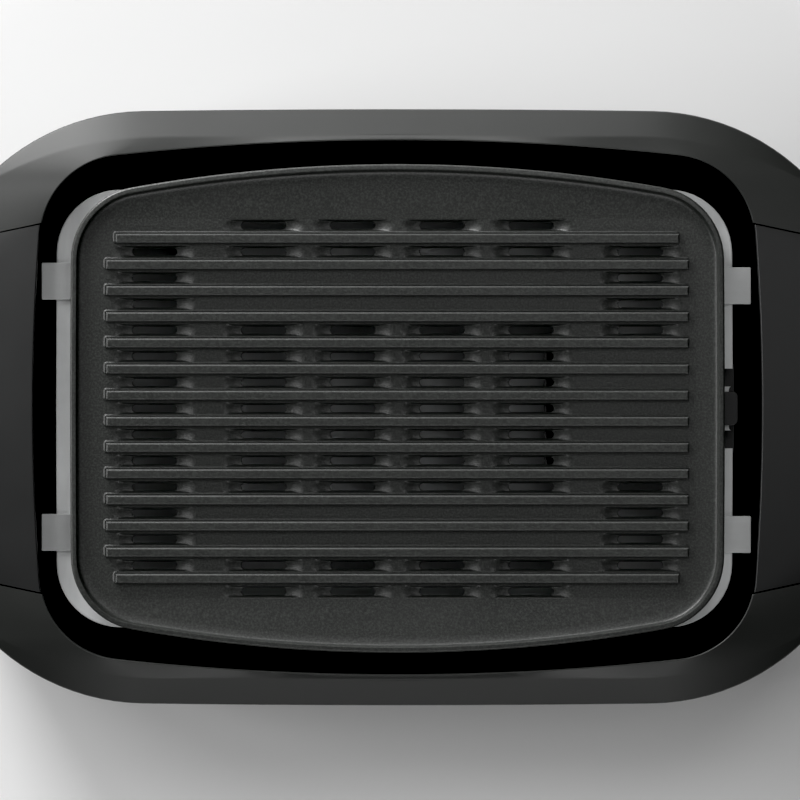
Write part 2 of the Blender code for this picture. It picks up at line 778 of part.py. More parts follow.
def make_grip_pocket(side, word):
    """The walls of a finger recess: a moulding that fills the gap it leaves in the guard's skirt."""
    pocket = recess_block(f"{word}_grip_pocket", side, BODY_WALL, "guard_plastic")
    limit = loft(
        f"{word}_pocket_limit",
        [
            flat_ring(BODY.inset(SKIRT_DRAFT + POCKET_SETBACK).points(), SKIRT_BOTTOM),
            flat_ring(BODY.inset(POCKET_SETBACK).points(), EDGE_BOTTOM),
        ],
    )
    keep_inside(pocket, limit)
    cut(pocket, recess_block(f"{word}_recess", side, 0.0))
    return pocket


def make_grip_pockets():
    make_grip_pocket(-1, "left")
    pocket = make_grip_pocket(1, "right")
    hole = lengthwise_cylinder(
        "cable_hole",
        CABLE_HOLE_RADIUS,
        RECESS_FLOOR_X - OVERRUN,
        RECESS_FLOOR_X + OVERRUN,
        0.0,
        CONTROL_Z,
    )
    cut(pocket, hole)


def make_handle_cover(side, word):
    """A cover that shows in its window, with a flange that bears under the guard's skin."""
    skin_depth = COVER_RECESS + COVER_WALL
    skin = apron_rings(COVER_RECESS) + apron_rings(skin_depth)[::-1]
    cover = loft(f"{word}_handle_cover", skin, "handle_plastic", ring_shaped=True)
    keep_inside(cover, window_block(f"{word}_cover_limit", side, -CLEAR, CLEAR))
    flange_top = BODY_WALL + CLEAR
    layer = apron_rings(flange_top) + apron_rings(flange_top + COVER_FLANGE_THICK)[::-1]
    flange = loft(f"{word}_cover_flange", layer, ring_shaped=True)
    keep_inside(
        flange, window_block(f"{word}_flange_limit", side, COVER_FLANGE, CLEAR + COVER_LAP)
    )
    join(cover, flange)


# Base plate, feet and screws


def slot_points(length, width, centre_x, centre_y, along_x=True):
    """A slot's outline with round ends."""
    radius = width / 2
    straight = length / 2 - radius
    points = []
    for start, sign in ((-90, 1), (90, -1)):
        for step in range(SLOT_END_STEPS + 1):
            angle = math.radians(start + 180 * step / SLOT_END_STEPS)
            along = sign * straight + radius * math.cos(angle)
            across = radius * math.sin(angle)
            if along_x:
                points.append((centre_x + along, centre_y + across))
            else:
                points.append((centre_x - across, centre_y + along))
    return points


def make_base_plate():
    clearance = wall_inset(BASE_BOTTOM) + BODY_WALL + CLEAR
    outline = BODY.inset(clearance).points()
    plate = loft(
        "base_plate", [flat_ring(outline, BASE_BOTTOM), flat_ring(outline, BASE_TOP)], "base_sheet"
    )
    for side, word in ((-1, "left"), (1, "right")):
        cut(plate, recess_block(f"{word}_base_relief", side, BODY_WALL + CLEAR))
    holes = []
    for x, y in boss_places():
        holes.append((SCREW_RADIUS + CLEAR, x, y))
    for x, y in foot_places():
        holes.append((FOOT_STEM_RADIUS + CLEAR, x, y))
    for number, (radius, x, y) in enumerate(holes, 1):
        hole = cylinder(
            f"base_hole_{number}", radius, -OVERRUN, OVERRUN, x, y, sides=SMALL_SIDES
        )
        cut(plate, hole)
    vents = []
    for row in (-1, 1):
        for number in range(VENT_COUNT):
            x = (number - (VENT_COUNT - 1) / 2) * VENT_PITCH
            outline = slot_points(VENT_LENGTH, VENT_WIDTH, x, row * VENT_Y, along_x=False)
            vents.append([flat_ring(outline, -OVERRUN), flat_ring(outline, OVERRUN)])
    cut(plate, lofts("base_vents", vents))


def foot_places():
    return [(sx * FOOT_X, sy * FOOT_Y) for sx in (-1, 1) for sy in (-1, 1)]


def make_feet():
    stem_top = FOOT_HEIGHT + FOOT_STEM_HEIGHT
    profile = [
        (FOOT_RADIUS - FOOT_CHAMFER, 0.0),
        (FOOT_RADIUS, FOOT_CHAMFER),
        (FOOT_TOP_RADIUS, FOOT_HEIGHT),
        (FOOT_STEM_RADIUS, FOOT_HEIGHT),
        (FOOT_STEM_RADIUS - FOOT_CHAMFER, stem_top),
    ]
    for number, (x, y) in enumerate(foot_places(), 1):
        turned(f"foot_{number}", profile, x, y, "foot_rubber")


def make_screw(name, x, y, head_top, length):
    """A screw that goes in from below, its head under a face at the height given."""
    profile = [
        (SCREW_HEAD_RADIUS, head_top - SCREW_HEAD_HEIGHT),
        (SCREW_HEAD_RADIUS, head_top),
        (SCREW_RADIUS, head_top),
        (SCREW_RADIUS, head_top + length),
    ]
    turned(name, profile, x, y, "plated_steel", SMALL_SIDES)


def make_base_screws():
    for number, (x, y) in enumerate(boss_places(), 1):
        make_screw(f"base_screw_{number}", x, y, BASE_BOTTOM - CLEAR, SCREW_LENGTH)


# Drip tray and straps


def make_tray():
    floor_z = TRAY_TOP - TRAY_DEPTH
    foot_inset = TRAY_FLANGE + TRAY_DRAFT
    top = [
        (foot_inset + TRAY_BEND, floor_z),
        (foot_inset, floor_z + TRAY_BEND),
        (TRAY_FLANGE, TRAY_TOP - TRAY_BEND / 2),
        (TRAY_FLANGE - TRAY_BEND / 2, TRAY_TOP),
        (0.0, TRAY_TOP),
    ]
    under = [
        (0.0, TRAY_TOP - TRAY_SHEET),
        (TRAY_FLANGE - TRAY_BEND / 2 - TRAY_SHEET / 2, TRAY_TOP - TRAY_SHEET),
        (TRAY_FLANGE - TRAY_SHEET, TRAY_TOP - TRAY_BEND / 2 - TRAY_SHEET / 2),
        (foot_inset - TRAY_SHEET, floor_z + TRAY_BEND - TRAY_SHEET / 2),
        (foot_inset + TRAY_BEND - TRAY_SHEET / 2, floor_z - TRAY_SHEET),
    ]
    rings = [flat_ring(TRAY.inset(by).points(), z) for by, z in top + under]
    tray = loft("drip_tray", rings, "bright_steel")
    for word, y in pin_places():
        notch = upright_block(
            f"{word}_pin_notch",
            (NOTCH_INNER_X, y - NOTCH_HALF_WIDTH, TRAY_TOP - TRAY_BEND),
            (TRAY_HALF_X + OVERRUN, y + NOTCH_HALF_WIDTH, TRAY_TOP + TRAY_BEND),
            STRAP_CORNER,
        )
        cut(tray, notch)
    tab_half_y = PIN_Y - NOTCH_HALF_WIDTH + CLEAR
    setback = upright_block(
        "tab_setback",
        (TRAY_HALF_X - TAB_SETBACK, -tab_half_y, TRAY_TOP - TRAY_BEND),
        (TRAY_HALF_X + OVERRUN, tab_half_y, TRAY_TOP + TRAY_BEND),
        TAB_CORNER,
    )
    cut(tray, setback)


def make_straps():
    end_x = OPENING.side_x(STRAP_Y + STRAP_WIDTH / 2) - STRAP_END_GAP
    for x_side, x_word in ((-1, "left"), (1, "right")):
        for y_side, y_word in ((-1, "front"), (1, "back")):
            outline = rounded_points(
                (end_x - STRAP_INNER_X) / 2,
                STRAP_WIDTH / 2,
                STRAP_CORNER,
                x_side * (end_x + STRAP_INNER_X) / 2,
                y_side * STRAP_Y,
            )
            rings = [flat_ring(outline, STRAP_BOTTOM), flat_ring(outline, STRAP_TOP)]
            loft(f"tray_strap_{x_word}_{y_word}", rings, "bright_steel")


# Grill plate


def element_path():
    """The element's route: in from the terminals, round the bands without slots, and out."""
    knots = [
        (SHROUD_OUTER_X - SHROUD_SHEET - CLEAR, ELEMENT_LEG_Y),
        (ELEMENT_HALF_X, ELEMENT_LEG_Y),
        (ELEMENT_HALF_X, ELEMENT_HALF_Y),
        (-ELEMENT_HALF_X, ELEMENT_HALF_Y),
    ]
    knots += [(x, -y) for x, y in reversed(knots)]
    path = [knots[0]]
    for before, knot, after in zip(knots, knots[1:], knots[2:]):
        path += bend_points(before, knot, after)
    return path + [knots[-1]]


def bend_points(before, knot, after):
    """An arc in place of a square corner of the route."""
    in_x, in_y = unit(knot, before)
    out_x, out_y = unit(knot, after)
    centre_x = knot[0] + ELEMENT_BEND * (in_x + out_x)
    centre_y = knot[1] + ELEMENT_BEND * (in_y + out_y)
    points = []
    for step in range(BEND_STEPS):
        angle = math.pi / 2 * step / (BEND_STEPS - 1)
        points.append(
            (
                centre_x - ELEMENT_BEND * (out_x * math.cos(angle) + in_x * math.sin(angle)),
                centre_y - ELEMENT_BEND * (out_y * math.cos(angle) + in_y * math.sin(angle)),
            )
        )
    return points


def unit(start, end):
    length = math.hypot(end[0] - start[0], end[1] - start[1])
    return (end[0] - start[0]) / length, (end[1] - start[1]) / length


def sweep(name, path, section, finish=None):
    """Carries a closed section, given across the path and in height, along a level path."""
    headings = [unit(start, end) for start, end in zip(path, path[1:])]
    rings = []
    for number, (x, y) in enumerate(path):
        back = headings[max(0, number - 1)]
        ahead = headings[min(number, len(headings) - 1)]
        across_x = -(back[1] + ahead[1])
        across_y = back[0] + ahead[0]
        scale = 2 / (across_x**2 + across_y**2)
        rings.append([(x + u * across_x * scale, y + u * across_y * scale, z) for u, z in section])
    return loft(name, rings, finish)


def element_section():
    turns = [2 * math.pi * side / ELEMENT_SIDES for side in range(ELEMENT_SIDES)]
    return [
        (ELEMENT_RADIUS * math.cos(turn), ELEMENT_Z + ELEMENT_RADIUS * math.sin(turn))
        for turn in turns
    ]


def rail_section():
    """The rail's section: drafted sides down to a channel that wraps the element."""
    bottom = ELEMENT_Z - RAIL_WRAP
    top = PLATE_UNDER + RAIL_ROOT
    channel = ELEMENT_RADIUS + CLEAR
    wrap = math.asin(RAIL_WRAP / channel)
    section = [(RAIL_HALF_WIDTH, top), (RAIL_HALF_WIDTH - RAIL_DRAFT, bottom)]
    for step in range(ELEMENT_SIDES - 1):
        angle = -wrap + (math.pi + 2 * wrap) * step / (ELEMENT_SIDES - 2)
        spread = 1 / math.cos((math.pi + 2 * wrap) / (2 * (ELEMENT_SIDES - 2)))
        reach = channel * spread
        section.append((reach * math.cos(angle), ELEMENT_Z + reach * math.sin(angle)))
    section += [(-RAIL_HALF_WIDTH + RAIL_DRAFT, bottom), (-RAIL_HALF_WIDTH, top)]
    return section


def ribbed_points(inset):
    """The lower, ribbed part of the floor: the floor's outline, cut off square at front and back."""
    limit = RIBBED_HALF_Y - (inset - floor_inset())
    return [(x, max(-limit, min(limit, y))) for x, y in PLATE.inset(inset).points()]


def floor_inset():
    """How far the plate's floor lies inside its outline, past the rim and the groove."""
    return RIM_WIDTH + GROOVE_WIDTH + 2 * GROOVE_SLOPE


def plate_rings():
    """The casting from its lower edge, over the rim and the groove, to the floor."""
    groove_z = PLATE_RIM_TOP - GROOVE_DEPTH
    steps = [
        (PLATE_DRAFT, PLATE_RIM_BOTTOM),
        (0.0, PLATE_RIM_TOP - RIM_ROUND),
        (RIM_ROUND, PLATE_RIM_TOP),
        (RIM_WIDTH, PLATE_RIM_TOP),
        (RIM_WIDTH + GROOVE_SLOPE, groove_z),
        (RIM_WIDTH + GROOVE_SLOPE + GROOVE_WIDTH, groove_z),
        (floor_inset(), groove_z + FLOOR_EDGE_RISE),
        (floor_inset() + RIM_ROUND, PLATE_FLAT),
    ]
    return [flat_ring(PLATE.inset(by).points(), z) for by, z in steps]


def rib_rings(number):
    """One rib: a square-ended bar, sunk into the floor, with a flared foot and broken top edges."""
    place = number - (RIB_COUNT - 1) / 2
    half = END_RIB_HALF_X if number in (0, RIB_COUNT - 1) else RIB_HALF_X
    top = PLATE_FLOOR + RIB_HEIGHT
    break_in = (RIB_WIDTH - RIB_TOP_WIDTH) / 2
    steps = [
        (-RIB_FLARE * (1 + RIB_ROOT / RIB_FLARE_HEIGHT), PLATE_FLOOR - RIB_ROOT),
        (0.0, PLATE_FLOOR + RIB_FLARE_HEIGHT),
        (break_in * RIB_DRAFT_SHARE, top - RIB_CROWN),
        (break_in, top),
    ]
    rings = []
    for by, z in steps:
        outline = rounded_points(
            half - by, RIB_WIDTH / 2 - by, RIB_CORNER - by, 0.0, place * RIB_PITCH, RIB_CORNER_STEPS
        )
        rings.append(flat_ring(outline, z))
    return rings


def slot_rings(row, column):
    """One drain slot: a dish in the floor that narrows to a slot right through."""
    x = SLOT_X[column]
    y = row * RIB_PITCH
    dish = slot_points(DISH_LENGTH, DISH_WIDTH, x, y)
    slot = slot_points(SLOT_LENGTH, SLOT_WIDTH, x, y)
    return [
        flat_ring(dish, PLATE_FLOOR + RIB_CROWN),
        flat_ring(dish, PLATE_FLOOR),
        flat_ring(slot, PLATE_FLOOR - DISH_DEPTH),
        flat_ring(slot, PLATE_UNDER - OVERRUN),
    ]


def slot_places():
    places = []
    for row, columns in SLOT_ROWS.items():
        for column in columns:
            places.append((row, column))
            if row:
                places.append((-row, column))
    return places


def make_plate():
    plate = loft("grill_plate", plate_rings(), "cast_plate")
    under = PLATE.inset(PLATE_SKIRT_WIDTH).points()
    hollow = [flat_ring(under, PLATE_RIM_BOTTOM - OVERRUN), flat_ring(under, PLATE_UNDER)]
    cut(plate, loft("plate_hollow", hollow))
    lowered = [
        flat_ring(ribbed_points(floor_inset() + RIM_ROUND + RIBBED_SLOPE), PLATE_FLOOR),
        flat_ring(ribbed_points(floor_inset() + RIM_ROUND), PLATE_FLAT + CLEAR),
        flat_ring(ribbed_points(floor_inset() + RIM_ROUND), PLATE_RIM_TOP),
    ]
    cut(plate, loft("ribbed_area", lowered))
    join(plate, lofts("ribs", [rib_rings(number) for number in range(RIB_COUNT)]))

    join(plate, sweep("element_rail", element_path(), rail_section()))
    cut(plate, lofts("drain_slots", [slot_rings(row, column) for row, column in slot_places()]))
    for number, (x, y) in enumerate(plate_foot_places(), 1):
        foot = cylinder(
            f"plate_foot_{number}",
            PLATE_FOOT_RADIUS,
            PLATE_SEAT,
            PLATE_UNDER + PLATE_THICK / 2,
            x,
            y,
            sides=SMALL_SIDES,
        )
        join(plate, foot)
    for number, x in enumerate(cover_screw_places(), 1):
        boss_bottom = SHROUD_BOTTOM + SHROUD_SHEET + CLEAR
        boss = cylinder(
            f"cover_boss_{number}",
            SHROUD_BOSS_RADIUS,
            boss_bottom,
            PLATE_UNDER + PLATE_THICK / 2,
            x,
            0.0,
            sides=SMALL_SIDES,
        )
        join(plate, boss)
        pilot = cylinder(
            f"cover_pilot_{number}",
            SCREW_RADIUS + CLEAR,
            boss_bottom - OVERRUN,
            boss_bottom + SHROUD_SCREW_LENGTH,
            x,
            0.0,
            sides=SMALL_SIDES,
        )
        cut(plate, pilot)


def plate_foot_places():
    return [(sx * PLATE_FOOT_X, sy * STRAP_Y) for sx in (-1, 1) for sy in (-1, 1)]


def make_element():
    sweep("heating_element", element_path(), element_section(), "element_sheath")


def cover_screw_places():
    return (SHROUD_INNER_X + SHROUD_SCREW_INSET, SHROUD_OUTER_X - SHROUD_SCREW_INSET)


def make_terminal_cover():
    cover = upright_block(
        "terminal_cover",
        (SHROUD_INNER_X, -SHROUD_HALF_Y, SHROUD_BOTTOM),
        (SHROUD_OUTER_X, SHROUD_HALF_Y, SHROUD_TOP),
        SHROUD_CORNER,
        "base_sheet",
    )
    inside = upright_block(
        "terminal_cover_inside",
        (SHROUD_INNER_X + SHROUD_SHEET, -SHROUD_HALF_Y + SHROUD_SHEET, SHROUD_BOTTOM + SHROUD_SHEET),
        (SHROUD_OUTER_X - SHROUD_SHEET, SHROUD_HALF_Y - SHROUD_SHEET, SHROUD_TOP + OVERRUN),
        SHROUD_CORNER - SHROUD_SHEET,
    )
    cut(cover, inside)
    spare = RAIL_HALF_WIDTH + CLEAR
    span_x = (ELEMENT_HALF_X - spare, ELEMENT_HALF_X + spare)
    gate = upright_block(
        "rail_gate",
        (span_x[0], -SHROUD_HALF_Y - OVERRUN, ELEMENT_Z - ELEMENT_RADIUS - CLEAR),
        (span_x[1], SHROUD_HALF_Y + OVERRUN, SHROUD_TOP + OVERRUN),
        CLEAR,
    )
    cut(cover, gate)
    for number, x in enumerate(cover_screw_places(), 1):
        hole = cylinder(
            f"cover_hole_{number}",
            SCREW_RADIUS + CLEAR,
            SHROUD_BOTTOM - OVERRUN,
            SHROUD_BOTTOM + 2 * SHROUD_SHEET,
            x,
            0.0,
            sides=SMALL_SIDES,
        )
        cut(cover, hole)
        make_screw(f"cover_screw_{number}", x, 0.0, SHROUD_BOTTOM - CLEAR, SHROUD_SCREW_LENGTH)
    cylinder(
        "thermal_cutout",
        CUTOUT_RADIUS,
        PLATE_UNDER - CLEAR - CUTOUT_HEIGHT,
        PLATE_UNDER - CLEAR,
        (SHROUD_INNER_X + SHROUD_OUTER_X) / 2,
        0.0,
        "plated_steel",
    )


def pin_places():
    return (("front", -PIN_Y), ("back", PIN_Y))


def make_terminal_block():
    block = upright_block(
        "terminal_block",
        (SHROUD_OUTER_X + CLEAR, -TERMINAL_HALF_Y, TERMINAL_BOTTOM),
        (TERMINAL_OUTER_X, TERMINAL_HALF_Y, TERMINAL_TOP),
        TERMINAL_CORNER,
        "black_resin",
    )
    nose = upright_block(
        "terminal_nose",
        (SHROUD_OUTER_X + TERMINAL_CORNER, -NOSE_HALF_Y, TERMINAL_BOTTOM),
        (PLATE_HALF_X + NOSE_REACH, NOSE_HALF_Y, TERMINAL_TOP),
        NOSE_CORNER,
    )
    join(block, nose)
    for word, y in pin_places():
        seat = cylinder(
            f"{word}_pin_seat",
            PIN_RADIUS + CLEAR,
            TERMINAL_BOTTOM - OVERRUN,
            TERMINAL_BOTTOM + PIN_SEAT,
            PIN_X,
            y,
        )
        cut(block, seat)
        tip = TERMINAL_BOTTOM + PIN_SEAT - CLEAR - PIN_LENGTH
        profile = [
            (PIN_RADIUS / 2, tip),
            (PIN_RADIUS, tip + PIN_RADIUS),
            (PIN_RADIUS, tip + PIN_LENGTH),
        ]
        turned(f"contact_pin_{word}", profile, PIN_X, y, "contact_brass")


# Contact block in the base


def make_contact_block():
    block = upright_block(
        "contact_block",
        (BLOCK_INNER_X, -BLOCK_HALF_Y, BLOCK_BOTTOM),
        (BLOCK_OUTER_X, BLOCK_HALF_Y, BLOCK_TOP),
        BLOCK_CORNER,
        "black_resin",
    )
    hollow = upright_block(
        "contact_block_hollow",
        (BLOCK_INNER_X + BLOCK_WALL, -BLOCK_HALF_Y + BLOCK_WALL, BLOCK_BOTTOM - OVERRUN),
        (BLOCK_OUTER_X - BLOCK_WALL, BLOCK_HALF_Y - BLOCK_WALL, BLOCK_TOP - BLOCK_HEAD),
        BLOCK_CORNER,
    )
    cut(block, hollow)
    bore = PIN_RADIUS + CLEAR
    outer = bore + SLEEVE_WALL
    for word, y in pin_places():
        pocket = cylinder(
            f"{word}_sleeve_pocket",
            outer + CLEAR,
            BLOCK_TOP - SLEEVE_LENGTH - CLEAR,
            BLOCK_TOP + OVERRUN,
            PIN_X,
            y,
        )
        cut(block, pocket)
        sleeve = cylinder(
            f"contact_sleeve_{word}",
            outer,
            BLOCK_TOP - SLEEVE_LENGTH,
            BLOCK_TOP,
            PIN_X,
            y,
            "contact_brass",
        )
        core = cylinder(
            f"{word}_sleeve_bore",
            bore,
            BLOCK_TOP - SLEEVE_LENGTH - OVERRUN,
            BLOCK_TOP + OVERRUN,
            PIN_X,
            y,
        )
        cut(sleeve, core)


# Control housing and what it holds


def make_housing():
    half_z = (HOUSING_TOP - HOUSING_BOTTOM) / 2
    middle_z = (HOUSING_TOP + HOUSING_BOTTOM) / 2
    steps = [
        (HOUSING_BACK_X, 0.0),
        (HOUSING_FRONT_X - HOUSING_ROUND, 0.0),
        (HOUSING_FRONT_X, HOUSING_ROUND),
    ]
    rings = [
        lengthwise_ring(
            x, HOUSING_HALF_Y - by, half_z - by, HOUSING_CORNER - by, 0.0, middle_z
        )
        for x, by in steps
    ]
    housing = loft("control_housing", rings, "guard_plastic")
    inside = lengthwise_block(
        "housing_inside",
        HOUSING_BACK_X - OVERRUN,
        HOUSING_FRONT_X - HOUSING_WALL,
        HOUSING_HALF_Y - HOUSING_WALL,
        half_z - HOUSING_WALL,
        HOUSING_CORNER - HOUSING_WALL,
        0.0,
        middle_z,
    )
    cut(housing, inside)
    low_x = HOUSING_FRONT_X - OVERRUN
    high_x = HOUSING_FRONT_X + OVERRUN
    cut(
        housing,
        lengthwise_cylinder("bush_hole", BUSH_RADIUS + CLEAR, low_x, high_x, DIAL_Y, CONTROL_Z),
        lengthwise_cylinder("lens_hole", LENS_RADIUS + CLEAR, low_x, high_x, LENS_Y, LENS_Z),
        lengthwise_block(
            "inlet_hole",
            low_x,
            high_x,
            INLET_HALF_Y + CLEAR,
            INLET_HALF_Z + CLEAR,
            INLET_CORNER + CLEAR,
            INLET_Y,
            CONTROL_Z,
        ),
    )


def make_regulator():
    front_x = HOUSING_FRONT_X - HOUSING_WALL - CLEAR
    body = lengthwise_block(
        "regulator_body",
        front_x - REGULATOR_DEPTH,
        front_x,
        REGULATOR_HALF_Y,
        REGULATOR_HALF_Z,
        REGULATOR_CORNER,
        DIAL_Y,
        CONTROL_Z,
        "black_resin",
    )
    bush_front = HOUSING_FRONT_X + BUSH_REACH
    bush = lengthwise_cylinder(
        "regulator_bush",
        BUSH_RADIUS,
        front_x - BODY_WALL,
        bush_front,
        DIAL_Y,
        CONTROL_Z,
    )
    join(body, bush)
    bore = lengthwise_cylinder(
        "regulator_bore",
        SPINDLE_RADIUS + SPINDLE_RUNNING,
        bush_front - BORE_DEPTH,
        bush_front + OVERRUN,
        DIAL_Y,
        CONTROL_Z,
    )
    cut(body, bore)

    nut_back = HOUSING_FRONT_X + CLEAR
    nut = lengthwise_cylinder(
        "regulator_nut",
        NUT_RADIUS,
        nut_back,
        nut_back + NUT_THICK,
        DIAL_Y,
        CONTROL_Z,
        "plated_steel",
        HEX_SIDES,
    )
    thread = lengthwise_cylinder(
        "nut_thread", BUSH_RADIUS + CLEAR, nut_back - OVERRUN, nut_back + OVERRUN, DIAL_Y, CONTROL_Z
    )
    cut(nut, thread)

    bezel = lengthwise_cylinder(
        "control_bezel",
        BEZEL_OUTER,
        nut_back,
        nut_back + BEZEL_THICK,
        DIAL_Y,
        CONTROL_Z,
        "plated_steel",
    )
    centre = lengthwise_cylinder(
        "bezel_centre", BEZEL_INNER, nut_back - OVERRUN, nut_back + OVERRUN, DIAL_Y, CONTROL_Z
    )
    cut(bezel, centre)


def make_dial():
    back_x = HOUSING_FRONT_X + CLEAR + BEZEL_THICK + DIAL_GAP
    front_x = back_x + DIAL_THICK
    profile = [
        (DIAL_RADIUS, back_x),
        (DIAL_RADIUS, back_x + DIAL_ROUND),
        (DIAL_FRONT_RADIUS, front_x - DIAL_ROUND),
        (DIAL_FRONT_RADIUS - DIAL_ROUND, front_x),
    ]
    dial = turned_lengthwise("control_dial", profile, 0.0, 0.0, "black_resin")
    grip_steps = [
        (front_x - DIAL_ROUND, 0.0),
        (front_x + GRIP_HEIGHT - DIAL_ROUND, 0.0),
        (front_x + GRIP_HEIGHT, DIAL_ROUND / 2),
    ]
    grip_rings = [
        lengthwise_ring(x, GRIP_HALF_WIDTH - by, GRIP_HALF_LENGTH - by, GRIP_CORNER, 0.0, 0.0)
        for x, by in grip_steps
    ]
    join(dial, loft("dial_grip", grip_rings))
    cavity_x = HOUSING_FRONT_X + BUSH_REACH + DIAL_HUB_GAP
    spindle_front = front_x - SPINDLE_CAP
    cavity = lengthwise_cylinder(
        "dial_cavity", DIAL_CAVITY_RADIUS, back_x - OVERRUN, cavity_x, 0.0, 0.0
    )
    hub = lengthwise_cylinder(
        "dial_bore",
        SPINDLE_RADIUS + SPINDLE_RUNNING,
        back_x,
        spindle_front + CLEAR,
        0.0,
        0.0,
    )
    cut(dial, cavity, hub)
    spindle = lengthwise_cylinder(
        "dial_spindle",
        SPINDLE_RADIUS,
        HOUSING_FRONT_X + BUSH_REACH - SPINDLE_BACK,
        spindle_front,
        0.0,
        0.0,
        "plated_steel",
    )
    axis = bpy.data.objects.new("dial_axis", None)
    PARTS.objects.link(axis)
    axis.location = (0.0, DIAL_Y, CONTROL_Z)
    for piece in (dial, spindle):
        piece.parent = axis
    for name in ("dial_grip", "dial_cavity", "dial_bore"):
        bpy.data.objects[name].parent = axis


def make_indicator():
    face_x = HOUSING_FRONT_X + CLEAR
    profile = [
        (LENS_RADIUS, face_x - LENS_DEPTH),
        (LENS_RADIUS, face_x),
        (LENS_FLANGE_RADIUS, face_x),
        (LENS_FLANGE_RADIUS, face_x + LENS_FLANGE_THICK),
        (LENS_RADIUS, face_x + LENS_FLANGE_THICK + LENS_DOME / 2),
        (LENS_RADIUS / 2, face_x + LENS_FLANGE_THICK + LENS_DOME),
    ]
    turned_lengthwise("indicator_lens", profile, LENS_Y, LENS_Z, "lens_red")
    lamp_front = face_x - LENS_DEPTH - CLEAR
    lengthwise_cylinder(
        "indicator_lamp",
        LAMP_RADIUS,
        lamp_front - LAMP_LENGTH,
        lamp_front,
        LENS_Y,
        LENS_Z,
        "lamp_glass",
    )


def make_inlet():
    face_x = HOUSING_FRONT_X + CLEAR
    front_x = face_x + INLET_FLANGE_THICK
    back_x = front_x - INLET_DEPTH - INLET_WALL
    inlet = lengthwise_block(
        "inlet_socket",
        back_x,
        front_x,
        INLET_HALF_Y,
        INLET_HALF_Z,
        INLET_CORNER,
        INLET_Y,
        CONTROL_Z,
        "black_resin",
    )
    flange = lengthwise_block(
        "inlet_flange",
        face_x,
        front_x,
        INLET_FLANGE_HALF_Y,
        INLET_FLANGE_HALF_Z,
        INLET_CORNER,
        INLET_Y,
        CONTROL_Z,
    )
    join(inlet, flange)
    cavity = lengthwise_block(
        "inlet_cavity",
        front_x - INLET_DEPTH,
        front_x + OVERRUN,
        INLET_HALF_Y - INLET_WALL,
        INLET_HALF_Z - INLET_WALL,
        INLET_CORNER - INLET_WALL,
        INLET_Y,
        CONTROL_Z,
    )
    cut(inlet, cavity)
    blades = (("line", -1, -1), ("earth", 0, 1), ("neutral", 1, -1))
    for word, place, level in blades:
        y = INLET_Y + place * BLADE_SPACING
        z = CONTROL_Z + level * BLADE_OFFSET_Z
        hole = lengthwise_block(
            f"{word}_blade_hole",
            back_x - OVERRUN,
            back_x + 2 * INLET_WALL,
            BLADE_HALF_Y + CLEAR,
            BLADE_HALF_Z + CLEAR,
            BLADE_HALF_Y / 2,
            y,
            z,
        )
        cut(inlet, hole)
        lengthwise_block(
            f"inlet_pin_{word}",
            back_x - BLADE_TAIL,
            front_x - BLADE_SETBACK,
            BLADE_HALF_Y,
            BLADE_HALF_Z,
            BLADE_HALF_Y / 2,
            y,
            z,
            "contact_brass",
        )


make_guard()
make_grip_pockets()
make_handle_cover(-1, "left")
make_handle_cover(1, "right")
make_base_plate()
make_feet()
make_base_screws()
make_tray()
make_straps()
make_plate()
make_element()
make_terminal_cover()
make_terminal_block()
make_contact_block()
make_housing()
make_regulator()
make_dial()
make_indicator()
make_inlet()
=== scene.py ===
"""Looks of the indoor electric grill: fine shells, ribs, slots and finishes, in the CAD's frame.

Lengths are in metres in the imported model's frame: +X the long way, towards the control, and +Z up.
"""

import json
import math

import bmesh
import bpy
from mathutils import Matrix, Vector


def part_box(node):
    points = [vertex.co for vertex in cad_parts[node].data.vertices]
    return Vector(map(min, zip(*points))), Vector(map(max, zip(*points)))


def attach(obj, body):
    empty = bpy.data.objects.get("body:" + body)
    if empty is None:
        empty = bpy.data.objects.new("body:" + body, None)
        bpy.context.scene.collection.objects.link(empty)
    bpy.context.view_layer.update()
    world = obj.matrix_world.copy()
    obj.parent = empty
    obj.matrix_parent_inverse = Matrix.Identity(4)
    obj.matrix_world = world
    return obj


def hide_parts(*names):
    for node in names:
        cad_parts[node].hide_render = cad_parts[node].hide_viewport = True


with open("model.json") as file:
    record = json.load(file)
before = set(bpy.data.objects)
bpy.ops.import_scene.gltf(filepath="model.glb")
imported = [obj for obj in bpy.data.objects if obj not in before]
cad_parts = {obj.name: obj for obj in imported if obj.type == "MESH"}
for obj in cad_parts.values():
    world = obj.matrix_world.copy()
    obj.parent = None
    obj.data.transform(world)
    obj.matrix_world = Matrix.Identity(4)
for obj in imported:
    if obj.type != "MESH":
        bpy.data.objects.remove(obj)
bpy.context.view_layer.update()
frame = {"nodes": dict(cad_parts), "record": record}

MM = 0.001
CLEAR = 0.3 * MM
OVERRUN = 20 * MM
SIDES = ((-1, "left"), (1, "right"))


def low(name):
    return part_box(name)[0]


def high(name):
    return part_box(name)[1]


def middle(name):
    """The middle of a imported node's box, along each axis."""
    return [(a + b) / 2 for a, b in zip(*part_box(name))]


def half(name):
    """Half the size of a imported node's box, along each axis."""
    return [(b - a) / 2 for a, b in zip(*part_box(name))]


def millimetres(*pairs):
    """Pairs of an inset and a height, given in millimetres."""
    return [(first * MM, second * MM) for first, second in pairs]


